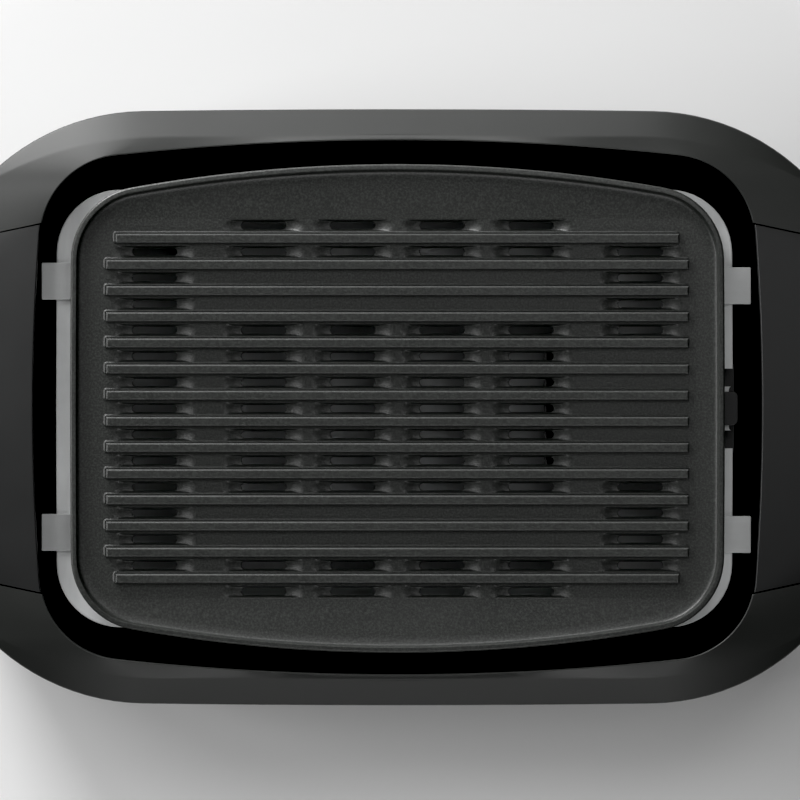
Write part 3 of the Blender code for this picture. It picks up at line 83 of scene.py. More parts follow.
# Body guard
BODY_HALF_X = 232 * MM
BODY_HALF_Y = high("guard_shell").y + 1 * MM
BODY_BOW_X = 1600 * MM
BODY_BOW_Y = 9000 * MM
BODY_CORNER = 109 * MM
BODY_MIDDLE = (0.0, 0.6 * MM)
BODY_WALL = 2.5 * MM
SKIRT_BOTTOM = low("guard_shell").z
SKIRT_DRAFT = 8 * MM
SKIRT_ROUND = 0.8 * MM
EDGE_BOTTOM = 74 * MM
EDGE_TOP = 78 * MM
EDGE_ROUND = 2 * MM
EDGE_ARC = 50
CREASE_HALF_Y = 130.9 * MM
CREASE_FLAT_X = 115 * MM
CREASE_BOW = 180 * MM
CREASE_SPREAD_SHARE = 1.4
CREASE_RISE = 9 * MM
CREASE_SETBACK = 1.6 * MM
CREASE_SOFT_SHARE = 0.05
BAND_SOFT_SHARE = 0.1
CREASE_FADE = 0.33
CREASE_FADE_X = 60 * MM

# Opening, lip and ledge
OPENING_HALF_X = 176.3 * MM
OPENING_HALF_Y = 129.5 * MM
OPENING_BOW_X = 1170 * MM
OPENING_BOW_Y = 1285 * MM
OPENING_CORNER = 41 * MM
LIP_TOP = 87.4 * MM
LIP_ROUND = 0.8 * MM
LIP_ARC = 88
LEDGE_TOP = high("drip_tray").z
LEDGE_WIDTH = 6 * MM
LEDGE_BOTTOM = LEDGE_TOP - BODY_WALL
WELL_SPARE = 0.1 * MM

# Finger recesses and the pocket mouldings that wall them
RECESS_FLOOR_X = 198 * MM
RECESS_HALF_Y = 80 * MM
RECESS_TOP = 62 * MM
RECESS_CORNER = 10 * MM
POCKET_SETBACK = 0.4 * MM
POCKET_ROUND = 0.5 * MM
CABLE_HOLE_RADIUS = 6 * MM

# Handle covers
SEAM_INNER_Y = 89.5 * MM
SEAM_OUTER_Y = 78 * MM
WINDOW_INNER_Z = 80 * MM
WINDOW_OUTER_Z = 72 * MM
COVER_RECESS = 0.7 * MM
COVER_WALL = 2.5 * MM
COVER_APRON = 8 * MM
COVER_GAP = 0.7 * MM
COVER_CROWN = 2.6 * MM
SEAM_ROUND = 0.35 * MM

# Screw bosses, base plate and feet
BOSS_RADIUS = 4.5 * MM
BOSS_X = 100 * MM
BOSS_BOTTOM = high("base_plate").z + CLEAR
PILOT_TOP = high("base_plate").z + 14 * MM
BASE_BOTTOM = low("base_plate").z
BASE_TOP = high("base_plate").z
BASE_ROUND = 0.3 * MM
BASE_EDGE = 0.2 * MM
SCREW_RADIUS = 1.6 * MM
SCREW_HEAD = 1.8 * MM
SCREW_DOME = 0.7 * MM
SCREW_DOME_SHARES = ((0.35, 0), (0.7, 0.3), (0.93, 1), (1, 1.6))
SCREW_EDGE = 0.15 * MM
SCREW_POINT = 1.2 * MM
SCREW_POINT_SHARE = 0.4
SCREW_SIDES = 32
CROSS_HALF_LENGTH = 2.1 * MM
CROSS_HALF_WIDTH = 0.45 * MM
CROSS_DEPTH = 1.1 * MM
CROSS_CORNER = 0.3 * MM
FOOT_STEM_RADIUS = 3 * MM
FOOT_STEM_POINT = (1 * MM, 1.2 * MM)
FOOT_SHOULDER = 5.7 * MM
FOOT_PROFILE = millimetres(
    (4, 0.8), (3, 0.2), (2.4, 0), (1.1, 0), (0.4, 0.3), (0, 1),
    (0.1, 2.2), (0.6, 2.5), (0.6, 3), (0.3, 3.3), (0.8, 5.2), (1.3, 5.7),
)
VENT_COUNT = 4
VENT_PITCH = 26 * MM
VENT_LENGTH = 46 * MM
VENT_WIDTH = 4.5 * MM
VENT_Y = 48 * MM
BEAD_MARGIN = 5 * MM
BEAD_CORNER = 6 * MM
BEAD_WIDTH = 2 * MM
BEAD_DEPTH = 0.5 * MM

# Drip tray
TRAY_SPARE_Y = 0.5 * MM
TRAY_HALF_X = high("drip_tray").x - 0.9 * MM
TRAY_HALF_Y = high("drip_tray").y + TRAY_SPARE_Y
TRAY_BOW_X = 9000 * MM
TRAY_BOW_Y = 12000 * MM
TRAY_CORNER = 31 * MM
TRAY_MIDDLE = (-1.5 * MM, 0.0)
TRAY_SHEET = 1 * MM
TRAY_FLANGE = 17 * MM
TRAY_DRAFT = 8 * MM
TRAY_BEND = 2.5 * MM
TRAY_FLOOR = low("drip_tray").z + TRAY_SHEET
NOTCH_HALF_Y = 19.4 * MM
NOTCH_DEPTH = 14.5 * MM
NOTCH_CORNER = 2 * MM
NOTCH_EDGE = 0.2 * MM
TAB_HALF_Y = 10.7 * MM
TAB_SETBACK = 3.5 * MM

# Straps: how far each lies from its solid in X and Y, and their edges
STRAP_PLACES = {
    ("left", "front"): (0.0, 0.6 * MM),
    ("left", "back"): (0.0, 1.0 * MM),
    ("right", "front"): (-1.2 * MM, -0.4 * MM),
    ("right", "back"): (-1.2 * MM, -1.2 * MM),
}
STRAP_EDGE = 0.25 * MM
STRAP_CORNER = 0.6 * MM
STRAP_EDGE_SHARE = 0.3

# Grill plate
PLATE_HALF_X = high("grill_plate").x
PLATE_HALF_Y = high("grill_plate").y
PLATE_BOW_X = 9000 * MM
PLATE_BOW_Y = 740 * MM
PLATE_CORNER = 36 * MM
PLATE_RIM_TOP = high("grill_plate").z
RIM_HEIGHT = 5 * MM
PLATE_FLOOR = PLATE_RIM_TOP - RIM_HEIGHT
PLATE_THICK = 4 * MM
PLATE_UNDER = PLATE_FLOOR - PLATE_THICK
PLATE_SKIRT = 3 * MM
PLATE_SKIRT_WIDTH = 5.5 * MM
PLATE_RIM_BOTTOM = PLATE_UNDER - PLATE_SKIRT
PLATE_DRAFT = 1 * MM
PLATE_FOOT_EDGE = 0.5 * MM
RIM_UNDERCUT = 0.6 * MM
RIM_LIP = PLATE_RIM_TOP - 0.45 * MM
CRESCENT_RISE = 1.6 * MM
RIBBED_HALF_Y = 92.6 * MM
RIBBED_INSET = 8.8 * MM
RIBBED_MARGIN = 0.8 * MM
RIM_EDGE = millimetres(
    (0.15, -2.2), (0, -0.8), (0.1, -0.57), (0.55, -0.18), (0.8, -0.03),
    (1.1, 0), (1.8, 0.1), (2.3, 0.16), (2.6, 0.1), (2.85, -0.2),
)
RIM_FILLET = millimetres(
    (3.1, 2.4), (3.3, 1.6), (3.6, 1.05), (4.2, 0.62), (5.2, 0.32), (6.6, 0.12), (8, 0.02)
)
PLATE_FOOT_X = 146 * MM
PLATE_FOOT_Y = 61 * MM
PLATE_FOOT_RADIUS = 4.5 * MM
PLATE_SEAT = high("tray_strap_left_back").z + CLEAR

# Ribs and slots
RIB_COUNT = 14
RIB_PITCH = 12.7 * MM
RIB_WIDTH = 4.8 * MM
RIB_HEIGHT = 3.5 * MM
RIB_CORNER = 0.4 * MM
RIB_SHARPEST = 0.15 * MM
RIB_NEAR_INSET = -0.02 * MM
RIB_FOOT = millimetres(
    (-1.9, -0.5), (-1.3, 0.01), (-1.1, 0.08), (-0.65, 0.42),
    (-0.48, 0.46), (-0.2, 0.22), (-0.06, 0.3), (0.03, 0.8),
)
RIB_EDGE = millimetres((0.15, -0.6), (0.25, -0.42), (0.78, -0.06), (1, 0))
RIB_HALF_X = 141.6 * MM
END_RIB_HALF_X = 137 * MM
SLOT_LENGTH = 22.3 * MM
SLOT_WIDTH = 3.9 * MM
DISH_LENGTH = 42.4 * MM
DISH_WIDTH = 6.1 * MM
DISH_DEPTH = 2.4 * MM
DISH_STEPS = 7
DISH_SKIN = 0.01 * MM
SLOT_TAPER = 0.5 * MM
SLOT_TAPER_DEPTH = 0.35 * MM
SLOT_X = {1: -118 * MM, 2: -65 * MM, 3: -21.7 * MM, 4: 21.7 * MM, 5: 65 * MM, 6: 118 * MM}
SLOT_ROWS = {
    7: (2, 3, 4, 5),
    6: (1, 2, 3, 4, 5, 6),
    5: (1, 6),
    4: (1, 6),
    3: (1, 2, 3, 4, 5, 6),
    2: (1, 2, 3, 4, 5),
    1: (1, 2, 3, 4, 5),
    0: (1, 2, 3, 4, 5),
}

# Element, its rail, and the terminal parts under the plate
ELEMENT_HALF_X = 91.5 * MM
ELEMENT_HALF_Y = 4.5 * RIB_PITCH
ELEMENT_LEG_Y = 15 * MM
ELEMENT_BEND = 12 * MM
ELEMENT_RADIUS = 3.3 * MM
ELEMENT_SIDES = 20
ELEMENT_Z = (low("heating_element").z + high("heating_element").z) / 2
RAIL_HALF_WIDTH = 5.6 * MM
RAIL_DRAFT = 0.6 * MM
RAIL_ROOT = 1 * MM
RAIL_WRAP = 1.5 * MM
RAIL_EDGE = 0.4 * MM
SHROUD_SHEET = 1 * MM
SHROUD_CORNER = 4 * MM
SHROUD_ROUND = 1.2 * MM
SHROUD_EDGE = 0.15 * MM
SHROUD_PILOT = 10 * MM
SHROUD_BOSS_RADIUS = 4 * MM
TERMINAL_CORNER = 2 * MM
NOSE_CORNER = 2.5 * MM
NOSE_HALF_Y = 8.2 * MM
TERMINAL_OUTER_X = 157.5 * MM
TERMINAL_ROUND = 0.5 * MM
PIN_TIP_SHARES = ((0.2, 0), (0.6, 0.2), (0.9, 0.55), (1, 1))
PIN_EDGE = 0.2 * MM
BLOCK_CORNER = 2 * MM
BLOCK_ROUND = 0.6 * MM
BLOCK_EDGE = 0.25 * MM
BLOCK_WALL = 3 * MM
BLOCK_HEAD = 16 * MM
SLEEVE_WALL = 1.2 * MM
SLEEVE_EDGE = 0.25 * MM
SLEEVE_LEAD = 0.5 * MM

# Control housing, dial, lens and inlet
HOUSING_WALL = 2.2 * MM
HOUSING_CORNER = 7 * MM
HOUSING_ROUND = 1.5 * MM
HOUSING_EDGE = 0.15 * MM
HOUSING_GROOVE = 0.4 * MM
HOUSING_GROOVE_INSET = 2.4 * MM
DIAL_Y = 16 * MM
CONTROL_Z = 32 * MM
DIAL_PLACE = (DIAL_Y, CONTROL_Z)
BUSH_RADIUS = 4.6 * MM
BEZEL_INNER = 9 * MM
BEZEL_ROUND = 0.4 * MM
BEZEL_SIDES = 96
DIAL_FLUTES = 36
DIAL_FLUTE_DEPTH = 0.35 * MM
DIAL_FLUTE_STEPS = 4
DIAL_FLUTE_END = 0.3 * MM
DIAL_FLUTE_INSETS = (0.2 * MM, 0.1 * MM)
DIAL_TAPER = 2 * MM
DIAL_BACK_EDGE = 0.4 * MM
DIAL_ROUND = 1.2 * MM
DIAL_ARC = 15
DIAL_CAVITY_RADIUS = 8.6 * MM
DIAL_CAVITY_SPARE = 0.8 * MM
DIAL_FACE_X = 225 * MM
GRIP_HALF_WIDTH = 3.2 * MM
GRIP_HALF_LENGTH = 13.5 * MM
GRIP_CORNER = 2.6 * MM
GRIP_ROUND = 1 * MM
POINTER_HALF_WIDTH = 0.6 * MM
POINTER_LENGTH = 7 * MM
POINTER_DEPTH = 0.5 * MM
POINTER_CORNER_SHARE = 0.9
MARK_COUNT = 10
MARK_START = 90
MARK_SPAN = -270
MARK_INNER = 17.5 * MM
MARK_OUTER = 18.6 * MM
MARK_HALF_WIDTH = 0.3 * MM
MARK_DEPTH = 0.3 * MM
LENS_FLANGE = 1.2 * MM
LENS_FLANGE_THICK = 0.8 * MM
LENS_DOME = 1 * MM
LENS_DOME_STEPS = 6
LENS_EDGE = 0.3 * MM
INLET_HALF_Y = 13.5 * MM
INLET_HALF_Z = 9.5 * MM
INLET_CORNER = 3 * MM
INLET_WALL = 1.6 * MM
INLET_FLANGE_THICK = 1.6 * MM
INLET_ROUND = 0.5 * MM
INLET_EDGE = 0.2 * MM
BLADE_CORNER_SHARE = 0.9
BLADE_ROUND_SHARE = 0.8

# Facets of the fine shapes: along a side, round a corner and along an end
BODY_STEPS = (8, 24, 12)
PLATE_STEPS = (8, 14, 20)
TRAY_STEPS = (6, 12, 10)
ARC_STEPS = 5
BASE_ARC_STEPS = 3
CORNER_STEPS = 6
SLOT_END_STEPS = 8
ROUND_SIDES = 48
BEND_STEPS = 9

# Angles over which an edge is broken and drawn sharp, in degrees
BROKEN_ANGLE = 50
SHARP_ANGLE = 38


class Outline:
    """A rectangle with bowed sides and round corners, made of arcs that meet smoothly."""

    def __init__(self, half_x, half_y, bow_x, bow_y, corner, steps, centre=(0.0, 0.0)):
        self.half_x = half_x
        self.half_y = half_y
        self.bow_x = bow_x
        self.bow_y = bow_y
        self.corner = corner
        self.steps = steps
        self.middle = centre

    def inset(self, by):
        sizes = (self.half_x, self.half_y, self.bow_x, self.bow_y, self.corner)
        return Outline(*(size - by for size in sizes), self.steps, self.middle)

    def corner_centre(self):
        """Where the corner arc's centre lies: inside both side arcs by the corner's radius."""
        side = (self.half_x - self.bow_x, 0.0)
        top = (0.0, self.half_y - self.bow_y)
        side_reach = self.bow_x - self.corner
        top_reach = self.bow_y - self.corner
        apart_x = top[0] - side[0]
        apart_y = top[1] - side[1]
        apart = math.hypot(apart_x, apart_y)
        along = (side_reach**2 - top_reach**2 + apart**2) / (2 * apart)
        across = math.sqrt(side_reach**2 - along**2)
        foot_x = side[0] + along * apart_x / apart
        foot_y = side[1] + along * apart_y / apart
        first = (foot_x - across * apart_y / apart, foot_y + across * apart_x / apart)
        second = (foot_x + across * apart_y / apart, foot_y - across * apart_x / apart)
        return max(first, second)

    def quarter(self):
        """Points from the middle of the +X side to the middle of the +Y side."""
        side_x = self.half_x - self.bow_x
        top_y = self.half_y - self.bow_y
        corner_x, corner_y = self.corner_centre()
        side_end = math.atan2(corner_y, corner_x - side_x)
        top_start = math.atan2(corner_y - top_y, corner_x)
        arcs = (
            (side_x, 0.0, self.bow_x, 0.0, side_end),
            (corner_x, corner_y, self.corner, side_end, top_start),
            (0.0, top_y, self.bow_y, top_start, math.pi / 2),
        )
        points = []
        for (x, y, radius, start, end), steps in zip(arcs, self.steps):
            for step in range(steps):
                angle = start + (end - start) * step / steps
                points.append((x + radius * math.cos(angle), y + radius * math.sin(angle)))
        return points + [(0.0, self.half_y)]

    def points(self):
        """The whole outline, anticlockwise from the middle of the +X side."""
        first = self.quarter()
        upper = first + [(-x, y) for x, y in reversed(first[:-1])]
        return upper + [(x, -y) for x, y in reversed(upper[1:-1])]

    def ring(self, inset, z):
        middle_x, middle_y = self.middle
        return [(x + middle_x, y + middle_y, z) for x, y in self.inset(inset).points()]

    def holds(self, x, y):
        """Whether a place lies inside the outline."""
        across = abs(x - self.middle[0])
        along = abs(y - self.middle[1])
        corner_x, corner_y = self.corner_centre()
        if across > corner_x and along > corner_y:
            return math.hypot(across - corner_x, along - corner_y) <= self.corner
        side = self.half_x - self.bow_x + math.sqrt(self.bow_x**2 - along**2)
        top = self.half_y - self.bow_y + math.sqrt(self.bow_y**2 - across**2)
        return across <= side and along <= top


BODY = Outline(
    BODY_HALF_X, BODY_HALF_Y, BODY_BOW_X, BODY_BOW_Y, BODY_CORNER, BODY_STEPS, BODY_MIDDLE
)
OPENING_SIZES = (OPENING_HALF_X, OPENING_HALF_Y, OPENING_BOW_X, OPENING_BOW_Y, OPENING_CORNER)
OPENING = Outline(*OPENING_SIZES, BODY_STEPS, BODY_MIDDLE)
TRAY = Outline(
    TRAY_HALF_X, TRAY_HALF_Y, TRAY_BOW_X, TRAY_BOW_Y, TRAY_CORNER, TRAY_STEPS, TRAY_MIDDLE
)
PLATE = Outline(PLATE_HALF_X, PLATE_HALF_Y, PLATE_BOW_X, PLATE_BOW_Y, PLATE_CORNER, PLATE_STEPS)


# Mesh tools


def add_loft(shape, rings, ring_shaped=False):
    """Joins rings of equal counts, capped at each end or, when ring-shaped, end to end."""
    rows = [[shape.verts.new(point) for point in ring] for ring in rings]
    spans = list(zip(rows, rows[1:]))
    if ring_shaped:
        spans.append((rows[-1], rows[0]))
    else:
        shape.faces.new(rows[0])
        shape.faces.new(rows[-1])
    for lower, upper in spans:
        for here in range(len(lower)):
            after = (here + 1) % len(lower)
            shape.faces.new((lower[here], lower[after], upper[after], upper[here]))


def new_object(name, shape):
    bmesh.ops.recalc_face_normals(shape, faces=shape.faces)
    mesh = bpy.data.meshes.new(name)
    shape.to_mesh(mesh)
    shape.free()
    obj = bpy.data.objects.new(name, mesh)
    bpy.context.scene.collection.objects.link(obj)
    return obj


def loft(name, rings, ring_shaped=False):
    return lofts(name, [rings], ring_shaped)


def lofts(name, solids, ring_shaped=False):
    shape = bmesh.new()
    for rings in solids:
        add_loft(shape, rings, ring_shaped)
    return new_object(name, shape)


def combine(target, tool, operation):
    """Applies a Boolean at once and removes the tool."""
    modifier = target.modifiers.new(operation, "BOOLEAN")
    modifier.operation = operation
    modifier.object = tool
    modifier.solver = "MANIFOLD"
    apply_modifiers(target)
    bpy.data.objects.remove(tool, do_unlink=True)


def cut(target, tool):
    combine(target, tool, "DIFFERENCE")


def join(target, tool):
    combine(target, tool, "UNION")


def apply_modifiers(obj):
    bpy.context.view_layer.update()
    graph = bpy.context.evaluated_depsgraph_get()
    mesh = bpy.data.meshes.new_from_object(obj.evaluated_get(graph))
    obj.modifiers.clear()
    obj.data = mesh


def soften(obj, width):
    """Breaks the sharp edges that cuts leave."""
    bevel = obj.modifiers.new("edges", "BEVEL")
    bevel.width = width
    bevel.segments = 2
    bevel.limit_method = "ANGLE"
    bevel.angle_limit = math.radians(BROKEN_ANGLE)
    bevel.harden_normals = False
    apply_modifiers(obj)


def dress(obj, body, node, slot, finish=None):
    """Smooths a finished piece, gives it its finish and lets it ride on its body."""
    obj.data.shade_smooth()
    obj.data.set_sharp_from_angle(angle=math.radians(SHARP_ANGLE))
    obj.modifiers.new("normals", "WEIGHTED_NORMAL").keep_sharp = True
    obj.data.materials.clear()
    obj.data.materials.append(MATERIALS[finish or slot])
    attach(obj, body)
    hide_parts(node)


def rounded_points(half_x, half_y, corner, centre=(0.0, 0.0)):
    """A rectangle with round corners."""
    points = []
    for turn, (side_x, side_y) in enumerate(((1, 1), (-1, 1), (-1, -1), (1, -1))):
        for step in range(CORNER_STEPS + 1):
            angle = math.pi / 2 * (turn + step / CORNER_STEPS)
            x = centre[0] + side_x * (half_x - corner) + corner * math.cos(angle)
            y = centre[1] + side_y * (half_y - corner) + corner * math.sin(angle)
            points.append((x, y))
    return points


def slot_points(length, width, x, y):
    """A slot's outline with round ends."""
    radius = width / 2
    straight = length / 2 - radius
    points = []
    for start, sign in ((-90, 1), (90, -1)):
        for step in range(SLOT_END_STEPS + 1):
            angle = math.radians(start + 180 * step / SLOT_END_STEPS)
            along = x + sign * straight + radius * math.cos(angle)
            points.append((along, y + radius * math.sin(angle)))
    return points


def flat(points, z):
    return [(x, y, z) for x, y in points]


def arc_steps(inset, z, radius, start, end, steps=ARC_STEPS):
    """Insets and heights along an arc round a centre, from one angle to another in degrees."""
    out = []
    for step in range(steps + 1):
        angle = math.radians(start + (end - start) * step / steps)
        out.append((inset - radius * math.cos(angle), z + radius * math.sin(angle)))
    return out


def block_ring(lowest, highest, corner, inset, z):
    """A level ring round a block that is given by two opposite corners."""
    centre = [(a + b) / 2 for a, b in zip(lowest[:2], highest)]
    halves = [(b - a) / 2 - inset for a, b in zip(lowest[:2], highest)]
    return flat(rounded_points(*halves, corner - inset, centre), z)


def rounded_block(name, lowest, highest, corner, edge):
    """An upright block with round upright edges, its top and bottom edges rounded too."""
    steps = arc_steps(edge, lowest[2] + edge, edge, -90, 0)
    steps += arc_steps(edge, highest[2] - edge, edge, 0, 90)
    return loft(name, [block_ring(lowest, highest, corner, inset, z) for inset, z in steps])


def plain_block(lowest, highest, corner):
    """An upright block with sharp ends, to cut with."""
    ends = (lowest[2], highest[2])
    return loft("block", [block_ring(lowest, highest, corner, 0.0, z) for z in ends])


def lengthwise_ring(x, half_y, half_z, corner, place):
    """A rounded rectangle across the X axis."""
    return [(x, y, z) for y, z in rounded_points(half_y, half_z, corner, place)]


def lengthwise_block(ends, half_y, half_z, corner, place, name="block"):
    """A block along X with sharp ends."""
    return loft(name, [lengthwise_ring(x, half_y, half_z, corner, place) for x in ends])


def rounded_lengthwise(name, ends, half_y, half_z, corner, edge, place):
    """A block along X with its front edge rounded."""
    back, front = ends
    rings = [
        lengthwise_ring(x, half_y - inset, half_z - inset, corner - inset, place)
        for inset, x in [(0.0, back)] + arc_steps(edge, front - edge, edge, 0, 90)
    ]
    return loft(name, rings)


def turned(name, profile, centre, along_x=False, ring_shaped=False, sides=ROUND_SIDES):
    """A solid turned about an upright axis, or one along X, from radii and places on the axis."""
    rings = []
    for radius, place in profile:
        ring = []
        for side in range(sides):
            angle = 2 * math.pi * side / sides
            first = centre[0] + radius * math.cos(angle)
            second = centre[1] + radius * math.sin(angle)
            ring.append((place, first, second) if along_x else (first, second, place))
        rings.append(ring)
    return loft(name, rings, ring_shaped)


def rod(radius, ends, place, along_x=False):
    """A plain round rod, to cut holes or to add bosses with."""
    return turned("rod", [(radius, end) for end in ends], place, along_x)


def unit(start, end):
    length = math.hypot(end[0] - start[0], end[1] - start[1])
    return (end[0] - start[0]) / length, (end[1] - start[1]) / length


def sweep(name, path, section):
    """Carries a closed section, given across the path and in height, along a level path."""
    headings = [unit(start, end) for start, end in zip(path, path[1:])]
    rings = []
    for number, (x, y) in enumerate(path):
        back = headings[max(0, number - 1)]
        ahead = headings[min(number, len(headings) - 1)]
        across_x = -(back[1] + ahead[1])
        across_y = back[0] + ahead[0]
        scale = 2 / (across_x**2 + across_y**2)
        rings.append([(x + u * across_x * scale, y + u * across_y * scale, z) for u, z in section])
    return loft(name, rings)


# Finishes


class Finish:
    """A Principled material built from noise in the object's own space."""

    def __init__(self, name, roughness, metallic=0.0, specular=0.5):
        self.material = bpy.data.materials.new(name)
        self.material.use_nodes = True
        self.tree = self.material.node_tree
        self.shader = self.tree.nodes["Principled BSDF"]
        self.shader.inputs["Roughness"].default_value = roughness
        self.shader.inputs["Metallic"].default_value = metallic
        self.shader.inputs["Specular IOR Level"].default_value = specular
        self.space = self.tree.nodes.new("ShaderNodeTexCoord").outputs["Object"]
        self.height = None

    def node(self, kind, source, entry, **values):
        """A new node with its constants, and with a source linked to one of its inputs."""
        node = self.tree.nodes.new(f"ShaderNode{kind}")
        self.tree.links.new(source, node.inputs[entry])
        for name, value in values.items():
            node.inputs[name.replace("_", " ")].default_value = value
        return node

    def feed(self, source, entry):
        self.tree.links.new(source, self.shader.inputs[entry])

    def noise(self, scale, detail=3.0, rough=0.5, stretch=(1, 1, 1)):
        mapping = self.node("Mapping", self.space, "Vector", Scale=stretch)
        sizes = {"Scale": scale, "Detail": detail, "Roughness": rough}
        noise = self.node("TexNoise", mapping.outputs["Vector"], "Vector", **sizes)
        return noise.outputs["Fac"]

    def ramp(self, source, low_place, low_value, high_place, high_value):
        """Maps a number to colours, or to grey values, from one place to another."""
        ramp = self.node("ValToRGB", source, "Fac")
        stops = ((low_place, low_value), (high_place, high_value))
        for element, (place, value) in zip(ramp.color_ramp.elements, stops):
            element.position = place
            element.color = (*(value if isinstance(value, tuple) else (value,) * 3), 1.0)
        return ramp.outputs["Color"]

    def mix(self, factor, first, second):
        """Mixes a linked colour with a plain one."""
        mix = self.tree.nodes.new("ShaderNodeMix")
        mix.data_type = "RGBA"
        self.tree.links.new(factor, mix.inputs[0])
        self.tree.links.new(first, mix.inputs[6])
        mix.inputs[7].default_value = (*second, 1.0)
        return mix.outputs[2]

    def colour(self, source):
        self.feed(source, "Base Color")

    def roughness(self, source, lowest, highest):
        spread = self.node("MapRange", source, "Value", To_Min=lowest, To_Max=highest)
        self.feed(spread.outputs["Result"], "Roughness")

    def bump(self, source, strength, distance):
        bump = self.node("Bump", source, "Height", Strength=strength, Distance=distance)
        if self.height:
            self.tree.links.new(self.height, bump.inputs["Normal"])
        self.height = bump.outputs["Normal"]
        self.feed(self.height, "Normal")


def moulded_plastic(name, dark, light, roughness, grain, specular=0.5):
    """Moulded plastic with a fine matt grain and faint, broad marks of handling."""
    finish = Finish(name, roughness, specular=specular)
    fine = finish.noise(1900.0, 4.0, 0.6)
    broad = finish.noise(14.0, 3.0, 0.55)
    tone = finish.ramp(broad, 0.3, dark, 0.72, light)
    speck = finish.ramp(finish.noise(5200.0, 2.0), 0.66, 0.0, 0.76, 0.35)
    finish.colour(finish.mix(speck, tone, light))
    finish.roughness(broad, roughness - 0.05, roughness + 0.06)
    finish.bump(fine, grain, 0.05 * MM)
    return finish.material


def coated_plate(name):
    """A dark non-stick coat on a casting: fine pimples, pale flecks and slight wear."""
    finish = Finish(name, 0.5, specular=0.55)
    fleck = finish.ramp(finish.noise(1000.0, 3.0, 0.6), 0.42, 0.0, 0.66, 1.0)
    broad = finish.noise(18.0, 4.0, 0.6)
    tone = finish.ramp(broad, 0.3, (0.0095, 0.0105, 0.0095), 0.75, (0.0135, 0.0145, 0.0135))
    finish.colour(finish.mix(fleck, tone, (0.034, 0.037, 0.034)))
    finish.roughness(broad, 0.38, 0.46)
    finish.bump(finish.noise(900.0, 4.0, 0.65), 0.8, 0.14 * MM)
    finish.bump(finish.noise(2200.0, 2.0, 0.5), 0.5, 0.06 * MM)
    return finish.material


def bright_sheet(name, roughness, stretch, metallic=1.0, gain=1.0):
    """Plated sheet metal with a faint drawn grain and soft smudges."""
    finish = Finish(name, roughness, metallic=metallic)
    grain = finish.noise(220.0, 5.0, 0.6, stretch)
    smudge = finish.noise(22.0, 4.0, 0.6)
    dull = (0.5 * gain, 0.51 * gain, 0.51 * gain)
    clean = (0.66 * gain, 0.67 * gain, 0.67 * gain)
    tone = finish.ramp(smudge, 0.25, dull, 0.7, clean)
    finish.colour(finish.mix(finish.ramp(grain, 0.3, 0.0, 0.8, 0.22), tone, (0.4, 0.4, 0.4)))
    finish.roughness(smudge, roughness - 0.07, roughness + 0.1)
    finish.bump(grain, 0.12, 0.05 * MM)
    return finish.material


def plain_metal(name, dark, light, roughness):
    """Plated or oxidised metal with a mottled surface."""
    finish = Finish(name, roughness, metallic=1.0)
    mottle = finish.noise(160.0, 5.0, 0.6)
    finish.colour(finish.ramp(mottle, 0.3, dark, 0.7, light))
    finish.roughness(mottle, roughness - 0.06, roughness + 0.1)
    finish.bump(finish.noise(1400.0, 3.0), 0.12, 0.04 * MM)
    return finish.material


def rubber(name):
    finish = Finish(name, 0.78, specular=0.35)
    broad = finish.noise(60.0, 3.0)
    finish.colour(finish.ramp(broad, 0.3, 0.012, 0.7, 0.022))
    finish.roughness(broad, 0.7, 0.86)
    finish.bump(finish.noise(1500.0, 4.0), 0.3, 0.08 * MM)
    return finish.material


def clear_plastic(name, colour, deep, transmission):
    finish = Finish(name, 0.12, specular=0.6)
    finish.shader.inputs["Transmission Weight"].default_value = transmission
    finish.shader.inputs["IOR"].default_value = 1.49
    swirl = finish.noise(300.0, 2.0)
    finish.colour(finish.ramp(swirl, 0.3, deep, 0.7, colour))
    finish.roughness(swirl, 0.08, 0.16)
    return finish.material


PLASTICS = {
    "guard_plastic": ((0.0095, 0.0105, 0.0095), (0.0125, 0.0138, 0.0125), 0.43, 0.3),
    # Near-black, matt copy of the guard plastic: painted shade for the wall and ledge inside the
    # opening
    "painted_shade_plastic": ((0.0012, 0.0013, 0.0012), (0.0018, 0.002, 0.0018), 0.7, 0.3, 0.08),
    "handle_plastic": ((0.008, 0.0084, 0.0084), (0.0105, 0.011, 0.011), 0.4, 0.12),
    "black_resin": ((0.008, 0.008, 0.0085), (0.012, 0.012, 0.0125), 0.45, 0.18),
    "base_sheet": ((0.004, 0.004, 0.0042), (0.007, 0.007, 0.0073), 0.55, 0.25),
}
METALS = {
    "plated_steel": ((0.36, 0.36, 0.37), (0.5, 0.5, 0.52), 0.3),
    "element_sheath": ((0.11, 0.11, 0.1), (0.23, 0.22, 0.2), 0.42),
    "contact_brass": ((0.6, 0.4, 0.15), (0.78, 0.57, 0.26), 0.26),
}
CLEARS = {
    "lens_red": ((0.62, 0.02, 0.01), (0.4, 0.01, 0.008), 0.35),
    "lamp_glass": ((0.9, 0.86, 0.8), (0.82, 0.76, 0.7), 0.8),
}
MATERIALS = {
    "cast_plate": coated_plate("cast_plate"),
    "bright_steel": bright_sheet("bright_steel", 0.55, (0.12, 1, 1)),
    "tray_steel": bright_sheet("tray_steel", 0.62, (1, 0.12, 1), 0.45, 1.25),
    "foot_rubber": rubber("foot_rubber"),
}
for make, looks in ((moulded_plastic, PLASTICS), (plain_metal, METALS), (clear_plastic, CLEARS)):
    MATERIALS.update((name, make(name, *values)) for name, values in looks.items())


# Body guard


def wall_inset(z):
    """How far the guard's drafted outer wall lies inside its outline at a height."""
    return SKIRT_DRAFT * (EDGE_BOTTOM - z) / (EDGE_BOTTOM - SKIRT_BOTTOM)


def crease_y(x):
    """Where the crease between the band's two facets lies: flat in the middle, then an arc."""
    past = min(CREASE_BOW, max(0.0, abs(x) - CREASE_FLAT_X))
    return CREASE_HALF_Y - CREASE_BOW + math.sqrt(CREASE_BOW**2 - past**2)


